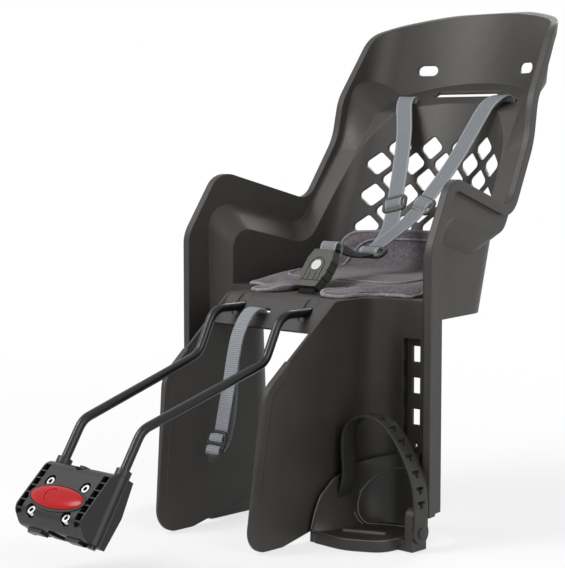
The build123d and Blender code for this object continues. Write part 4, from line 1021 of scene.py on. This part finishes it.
panel_half = [
    (0, 24, 297),
    (40, 22, 296),
    (84, 22, 295),
    (106, 40, 297),
    (108, 90, 299),
    (102, 132, 304),
    (95, 152, 316),
    (90, 164, 330),
    (78, 174, 339),
    (50, 183, 341),
    (0, 188, 342),
]
border_half = [
    (0, -1, 292),
    (22, -2, 293),
    (36, -8, 293),
    (37, -40, 292),
    (42, -62, 290),
    (60, -66, 289),
    (78, -62, 289),
    (82, -30, 291),
    (90, -8, 290),
    (112, -6, 289),
    (136, -5, 289),
    (140, 14, 292),
    (136, 70, 297),
    (128, 120, 298),
    (118, 146, 306),
    (115, 156, 325),
    (112, 164, 345),
    (96, 176, 353),
    (50, 190, 355),
    (0, 196, 355),
]
for name, half, radius in (
    ("pad_piping_panel", panel_half, 1.7),
    ("pad_piping_border", border_half, 2.3),
):
    piping = tube(name, laid_on_pad(half), radius, True, piping_felt)
    belong(piping, "seat", "cushion_felt")
    print(name, "points:", len(piping.data.vertices))
belong(pad, "seat", "cushion_felt", "seat_cushion")

# %% [markdown]
# ## Footrests
# The footrest is one moulding: a tray with a lip, a wall that sweeps up behind the heel, a post
# for the strap and a tongue that slides in the rack. The wall is drawn as sections along the
# tray's edge: each section curves from the top edge down into the floor. The left footrest is
# modelled, its solids are united, and the right one is its mirror image.


# %% Footrest tray and wall
TRAY_REAR = -9.3
TRAY_INNER = 84.0
TRAY_FLOOR = 12.8
CORNER_RADIUS = 44.0
RACK_CENTER = 144.0


def rounded_outline(corners, radii, steps=8):
    """A closed outline in the plane with each corner rounded by an arc."""
    outline = []
    for k, here in enumerate(corners):
        here = Vector(here)
        back = (Vector(corners[k - 1]) - here).normalized()
        on = (Vector(corners[(k + 1) % len(corners)]) - here).normalized()
        half = back.angle(on) / 2
        middle = here + (back + on).normalized() * (radii[k] / sin(half))
        first = here + back * (radii[k] / tan(half)) - middle
        last = here + on * (radii[k] / tan(half)) - middle
        for t in range(steps + 1):
            outline.append(middle + first.lerp(last, t / steps).normalized() * radii[k])
    return outline


def solid(name, rows, finish):
    """A closed mesh from rows of points: each row is a ring, capped at both ends."""
    mesh = bpy.data.meshes.new(name)
    mesh.from_pydata([at(*place) for row in rows for place in row], [], skin_of_rows(rows))
    mesh.materials.append(finish)
    obj = new_object(name, mesh)
    face_outwards()
    return obj


def block(name, low, high, finish):
    """A plain box between two corners."""
    bpy.ops.object.select_all(action="DESELECT")
    bpy.ops.mesh.primitive_cube_add(size=1.0, location=(at(*low) + at(*high)) / 2)
    obj = bpy.context.object
    obj.name = name
    obj.scale = at(*high) - at(*low)
    bpy.ops.object.transform_apply(location=True, rotation=True, scale=True)
    obj.data.materials.append(finish)
    return obj


def combine(base, others, operation):
    """Unite solids with a base, or cut them from it, and delete them."""
    for other in others:
        take(base)
        apply_modifier(base, "BOOLEAN", operation=operation, solver="MANIFOLD", object=other)
        print(base.name, operation, other.name, "faces:", len(base.data.polygons))
        bpy.data.objects.remove(other)


def between(value, table):
    """A value read from a short table of pairs, on straight lines between them."""
    for (low, first), (high, last) in zip(table, table[1:]):
        if value <= high:
            return first + (last - first) * max(0.0, value - low) / (high - low)
    return table[-1][1]


tray_corners = [
    (TRAY_INNER, TRAY_REAR),
    (TRAY_INNER, -126),
    (140, -130),
    (182, -108),
    (188, -62),
    (186, -30),
    (156, TRAY_REAR),
]
tray_edge = rounded_outline(tray_corners, [CORNER_RADIUS, 12, 60, 28, 20, 8, 4])
# from the bottom to the floor: how far inside the edge, and how high
tray_rings = [(1.2, 0), (0, 1.2), (0, 12.8), (1.2, 14), (4.2, 14), (6.0, TRAY_FLOOR)]
tray_middle = Vector((136, -66))
rings = []
for inset, height in tray_rings:
    ring = []
    for k, place in enumerate(tray_edge):
        tangent = tray_edge[(k + 1) % len(tray_edge)] - tray_edge[k - 1]
        inward = Vector((-tangent.y, tangent.x)).normalized()
        if inward.dot(tray_middle - place) < 0:
            inward = -inward
        spot = place + inward * inset
        ring.append((spot.x, spot.y, height))
    rings.append(ring)
footrest = solid("footrest_tray_left", rings, foot_plastic)

# the wall's top edge and its reach over the floor, along its length from the front to the rear
wall_top = [(0, 16), (5, 34), (13, 53), (36, 71), (74, 82), (110, 90), (142, 97), (167, 99)]
wall_reach = [(0, 8), (24, 21), (60, 29), (110, 29), (142, 17), (167, 12)]
# the wall leans inwards as the guard beside it does, so that it stays clear when it is raised
wall_lean = [(0, 4.4), (70, 4.4), (110, 2.8), (142, 0.4), (167, 0.3)]
LEAN_HEIGHT = 94.0
CORNER_STEPS = 16
SWEEP_STEPS = 10
WALL_THICKNESS = 3.0
SOLE = 0.6
corner_middle = Vector((TRAY_INNER + CORNER_RADIUS, TRAY_REAR - CORNER_RADIUS))
stations = [(Vector((TRAY_INNER, y)), Vector((1, 0))) for y in range(-125, -54, 5)]
for t in range(CORNER_STEPS + 1):
    angle = pi - t / CORNER_STEPS * pi / 2
    away = Vector((cos(angle), sin(angle)))
    stations.append((corner_middle + away * CORNER_RADIUS, -away))
stations += [(Vector((x, TRAY_REAR)), Vector((0, -1))) for x in (134, 140, 146, 152, 156)]
sections = []
length = 0.0
last = stations[0][0]
for place, inward in stations:
    length += (place - last).length
    last = place
    top = between(length, wall_top)
    reach = between(length, wall_reach)
    profile = [(0.1, SOLE), (0.1, top - 1.0), (0.9, top), (2.4, top)]
    for t in range(SWEEP_STEPS + 1):
        turn = t / SWEEP_STEPS * pi / 2
        inset = WALL_THICKNESS + (reach - WALL_THICKNESS) * (1 - cos(turn))
        profile.append((inset, 10 + (top - 11) * (1 - sin(turn))))
    profile.append((reach, SOLE))
    lean = between(length, wall_lean) / LEAN_HEIGHT
    section = []
    for inset, height in profile:
        spot = place + inward * (inset + lean * height)
        section.append((spot.x, spot.y, height))
    sections.append(section)
wall = solid("heel_wall", sections, foot_plastic)

# the post for the strap's stud: a plate with a round top, on a root that reaches into the tray
POST_Y = -71
POST_RADIUS = 13
POST_SHOULDER = 39
POST_STEPS = 12
post_side = [(POST_Y - POST_RADIUS, SOLE), (POST_Y - POST_RADIUS, POST_SHOULDER)]
for t in range(1, POST_STEPS):
    turn = pi * t / POST_STEPS
    post_side.append((POST_Y - POST_RADIUS * cos(turn), POST_SHOULDER + POST_RADIUS * sin(turn)))
post_side += [(POST_Y + POST_RADIUS, POST_SHOULDER), (POST_Y + POST_RADIUS, SOLE)]
post = solid("post", [[(x, y, z) for y, z in post_side] for x in (195.5, 206.9)], foot_plastic)
root = block("post_root", (178, -83.8, SOLE), (206.7, -58.2, 13.4), foot_plastic)
plate_low = (RACK_CENTER - 15.5, TRAY_REAR - 3.4, SOLE)
plate_high = (RACK_CENTER + 15.5, TRAY_REAR - 0.05, 100)
plate = block("latch_plate", plate_low, plate_high, foot_plastic)
tongue_low = (RACK_CENTER - 12, TRAY_REAR - 1, SOLE)
tongue_high = (RACK_CENTER + 12, -0.4, 99.8)
tongue = block("latch_tongue", tongue_low, tongue_high, foot_plastic)
combine(footrest, [wall, plate, tongue, root, post], "UNION")
take(footrest)
bpy.ops.object.shade_smooth_by_angle(angle=radians(32))
bpy.context.view_layer.update()
print("footrest faces:", len(footrest.data.polygons))

# %% [markdown]
# Thin beads stand on the moulding: one outlines the pocket for the heel, one is the tread on the
# tray's floor. Their lighter grey is a painted highlight: it draws the light that the edges catch
# inside the dark footrest.


# %% Beads on the footrest
pocket = [
    (150, -13, 82),
    (126, -13, 80),
    (103, -20, 70),
    (92, -38, 55),
    (90, -50, 36),
    (97, -54, 20),
    (112, -46, 12.8),
    (136, -34, 12.8),
    (165, -26, 12.8),
]
step_line = [
    (99, -30, 62),
    (90, -44, 50),
    (87, -56, 34),
    (94, -61, 19),
    (106, -54, 12.8),
]


BEAD_LIFT = 0.4


def laid_on_footrest(points):
    """A smooth line with each point moved just out of the footrest's skin."""
    line = []
    for place in smooth_line([at(*point) for point in points]):
        _, skin, out, _ = footrest.closest_point_on_mesh(place)
        line.append(skin + out * (BEAD_LIFT * MM))
    return line


# polished by the tool, so these narrow lines shine where the grained plastic beside them does not;
# their grey, much lighter than the black moulding, is a painted highlight
bead_painted_highlight_plastic = moulded_plastic(
    "polished_bead_painted_highlight", "#5c5b59", "#686765", 0.3, 1.6, depth_mm=0.05, edge_mm=0.6
)
rim = [at(*section[2]) - Vector((0, 0, 0.3 * MM)) for section in sections]
lip = [at(*place) - Vector((0, 0, 0.4 * MM)) for place in rings[3]]
tread_line = [at(111, -96, TRAY_FLOOR + 0.5), at(160, -76, TRAY_FLOOR + 0.5)]
beads = [
    tube("pocket_bead", laid_on_footrest(pocket), 0.9, False, bead_painted_highlight_plastic),
    tube("step_bead", laid_on_footrest(step_line), 0.7, False, bead_painted_highlight_plastic),
    tube("wall_bead", rim, 0.8, False, bead_painted_highlight_plastic),
    tube("lip_bead", lip, 0.7, True, bead_painted_highlight_plastic),
    tube("tread", tread_line, 2.6, False, bead_painted_highlight_plastic),
]
take(footrest)
for bead in beads:
    bead.select_set(True)
bpy.ops.object.join()
print("footrest faces with beads:", len(footrest.data.polygons))

# %% [markdown]
# ## Foot straps
# The strap is a soft band that arches over the foot, with a row of T-shaped slots, and it ends in
# a round disc that snaps on a stud of the post. The slots are cut from the band one by one.


# %% Foot strap
STRAP_WIDTH = 24.0
STRAP_THICKNESS = 3.0
SLOT_COUNT = 9
SLOT_FIRST = 0.395
SLOT_STEP = 0.0585
SLOT_CUT = 5
STRAP_Y = -71.0
arch = [
    (89, 46),
    (96, 62),
    (99, 84),
    (96, 106),
    (97, 130),
    (111, 147),
    (134, 153),
    (158, 147),
    (178, 129),
    (194, 105),
    (206, 78),
    (208.7, 54),
    (208.7, 36),
    (208.7, 22),
]
centre_line = smooth_line([at(x, STRAP_Y, z) for x, z in arch])
strap = band(
    "foot_strap_band_left",
    [(at(x, STRAP_Y, z), Vector((0, 1, 0))) for x, z in arch],
    STRAP_WIDTH,
    STRAP_THICKNESS,
    strap_rubber,
)
tee = [
    (-1.8, -6.5),
    (1.8, -6.5),
    (1.8, -2.6),
    (7.0, -2.6),
    (7.0, 2.6),
    (1.8, 2.6),
    (1.8, 6.5),
    (-1.8, 6.5),
]
slots = []
for k in range(SLOT_COUNT):
    index = round((SLOT_FIRST + SLOT_STEP * k) * (len(centre_line) - 1))
    spot = (centre_line[index] - Vector((0, FRAME_SHIFT, 0))) / MM
    way = (centre_line[index + 1] - centre_line[index - 1]).normalized()
    out = Vector((way.z, 0, -way.x))
    ends = []
    for depth in (-SLOT_CUT, SLOT_CUT):
        ends.append([tuple(spot + way * u + Vector((0, v, 0)) + out * depth) for u, v in tee])
    slots.append(solid("slot", ends, strap_rubber))
combine(strap, slots, "DIFFERENCE")
discs = []
for radius, depth, x in ((13.0, 3.8, 208.9), (6.5, 2.2, 211.7)):
    bpy.ops.object.select_all(action="DESELECT")
    bpy.ops.mesh.primitive_cylinder_add(
        vertices=48,
        radius=radius * MM,
        depth=depth * MM,
        location=at(x, STRAP_Y, 22),
        rotation=(0, pi / 2, 0),
    )
    disc = bpy.context.object
    bpy.ops.object.transform_apply(location=True, rotation=True, scale=True)
    apply_modifier(disc, "BEVEL", width=0.8 * MM, segments=3)
    disc.data.materials.append(strap_rubber)
    discs.append(disc)
combine(strap, discs, "UNION")
take(strap)
bpy.ops.object.shade_smooth_by_angle(angle=radians(35))

# %% [markdown]
# The seat is the same on both sides, so the right footrest and its strap are mirror images. Each
# copy has a mesh of its own, because each footrest moves by itself.


# %% Mirror both to the right side
def mirrored(obj, name):
    """A copy with its own mesh on the other side of the seat."""
    mesh = obj.data.copy()
    for vertex in mesh.vertices:
        vertex.co.x = -vertex.co.x
    mesh.flip_normals()
    return new_object(name, mesh)


footrest_other = mirrored(footrest, "footrest_tray_right")
strap_other = mirrored(strap, "foot_strap_band_right")
for tray_piece, strap_piece, side in (
    (footrest, strap, "left"),
    (footrest_other, strap_other, "right"),
):
    belong(tray_piece, "footrest_" + side, "footrest_plastic", "footrest_" + side)
    belong(
        strap_piece,
        "footrest_" + side,
        "strap_rubber",
        "foot_strap_" + side,
        "foot_strap_studs_" + side,
    )
    print(tray_piece.name, strap_piece.name, "faces:", len(strap_piece.data.polygons))

# %% [markdown]
# ## Springs and bolts of the block
# The springs behind the red button get shorter when it is pressed; a copy of them is attached to
# the block. The bolt heads sit a little further out in their wells than the CAD ones, where the
# lamps reach them, and their sockets get a painted shade: a near-black finish for their shadow.


# %% Springs and bolts
PRESS_WAY = Vector((0, 0.68, -0.733)).normalized()
FACE_UP = LEFT_RIGHT.cross(PRESS_WAY)
UPPER_BOLT_SHIFT = 4.6
LOWER_BOLT_SHIFT = 2.8
BOLT_X = 29.5
HEAD_RADIUS = 5.0
SOCKET_REACH = 2.95
SOCKET_START = 0.02
SOCKET_DEPTH = 2.6


coils = new_object("button_coils", nodes["button_springs"].data.copy())
belong(coils, "clamp_block", "plain_steel", "button_springs")
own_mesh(coils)
bolts = new_object("clamp_bolts_seen", nodes["clamp_bolts"].data.copy())
belong(bolts, "clamp_block", "plain_steel", "clamp_bolts")
bolt_heights = [vertex.co.dot(FACE_UP) for vertex in bolts.data.vertices]
rows_middle = (min(bolt_heights) + max(bolt_heights)) / 2
row_offset = (max(bolt_heights) - min(bolt_heights)) / 2 - HEAD_RADIUS * MM
head_top = min(vertex.co.dot(PRESS_WAY) for vertex in bolts.data.vertices)
# painted shade: nearly black for the shadow deep in each socket, so that the bright ring of the
# head stands out
socket_painted_shade = coated_metal(
    "socket_steel_painted_shade", "#101010", 0.0, 0.5, grain_mm=1.0, edge_mm=0.2, coat=0.0
)
bolts.data.materials.append(socket_painted_shade)
sockets = 0
for face in bolts.data.polygons:
    aside = abs(face.center.x) - BOLT_X * MM
    above = abs(face.center.dot(FACE_UP) - rows_middle) - row_offset
    depth = face.center.dot(PRESS_WAY) - head_top
    near = sqrt(aside**2 + above**2) < SOCKET_REACH * MM
    # faces deep in the hex socket take the painted shade finish
    if near and SOCKET_START * MM < depth < SOCKET_DEPTH * MM:
        face.material_index = 1
        sockets += 1
for vertex in bolts.data.vertices:
    upper = vertex.co.dot(FACE_UP) > rows_middle
    vertex.co -= PRESS_WAY * ((UPPER_BOLT_SHIFT if upper else LOWER_BOLT_SHIFT) * MM)
print("socket faces:", sockets)

# %% [markdown]
# ## Red button
# The button is an oval dome with a shallow round rest for the thumb. It starts as a sphere: the
# lower half is bisected away, the rim is extruded down to the button's depth, and the points of
# the upper half are lifted to a dome that is flat on top and steep at its edge. Its outline and
# its height are those of the CAD button, so it slides in the same well.


# %% Domed button
DISH_RADIUS = 9.6
DISH_PLACE = -8.0
DISH_DEPTH = 1.9
DISH_EDGE = 1.6
BUTTON_DOME = 4.0 * MM

cad_points = [vertex.co for vertex in nodes["release_button"].data.vertices]
sides = [point.x for point in cad_points]
heights = [point.dot(FACE_UP) for point in cad_points]
depths = [point.dot(PRESS_WAY) for point in cad_points]
half_length = (max(sides) - min(sides)) / 2
half_width = (max(heights) - min(heights)) / 2
button_middle = LEFT_RIGHT * ((max(sides) + min(sides)) / 2)
button_middle += FACE_UP * ((max(heights) + min(heights)) / 2)
button_depth = max(depths) - min(depths) - BUTTON_DOME
rim_depth = PRESS_WAY * (min(depths) + BUTTON_DOME)

bpy.ops.object.select_all(action="DESELECT")
bpy.ops.mesh.primitive_uv_sphere_add(segments=64, ring_count=48, radius=1.0)
button = bpy.context.object
button.name = "release_button_cap"
bpy.ops.object.mode_set(mode="EDIT")
bpy.ops.mesh.select_all(action="SELECT")
bpy.ops.mesh.bisect(plane_co=(0, 0, 0), plane_no=(0, 0, 1), clear_inner=True, use_fill=False)
bpy.ops.mesh.select_all(action="DESELECT")
bpy.ops.mesh.select_non_manifold()
bpy.ops.mesh.extrude_region_move(TRANSFORM_OT_translate={"value": (0, 0, -1.0)})
bpy.ops.mesh.edge_face_add()
bpy.ops.mesh.select_all(action="SELECT")
bpy.ops.mesh.normals_make_consistent(inside=False)
bpy.ops.object.mode_set(mode="OBJECT")
apply_modifier(button, "SUBSURF", subdivision_type="SIMPLE", levels=1, render_levels=1)
for vertex in button.data.vertices:
    x, y, z = vertex.co
    if z < -1e-4:
        height = z * button_depth
    else:
        off_middle = min(1.0, sqrt(x * x + y * y))
        height = BUTTON_DOME * (1 - off_middle**2.6) ** 0.55
        from_dish = sqrt((x * half_length / MM - DISH_PLACE) ** 2 + (y * half_width / MM) ** 2)
        into = min(1.0, max(0.0, (DISH_RADIUS - from_dish) / DISH_EDGE))
        height -= DISH_DEPTH * MM * into * into * (3 - 2 * into)
    place = LEFT_RIGHT * (x * half_length) + FACE_UP * (y * half_width) - PRESS_WAY * height
    vertex.co = button_middle + rim_depth + place
button.data.materials.append(red_gloss)
take(button)
bpy.ops.object.shade_smooth_by_angle(angle=radians(50))
belong(button, "release_button", "red_button", "release_button")
print("button mm:", round(2 * half_length / MM, 1), "by", round(2 * half_width / MM, 1))
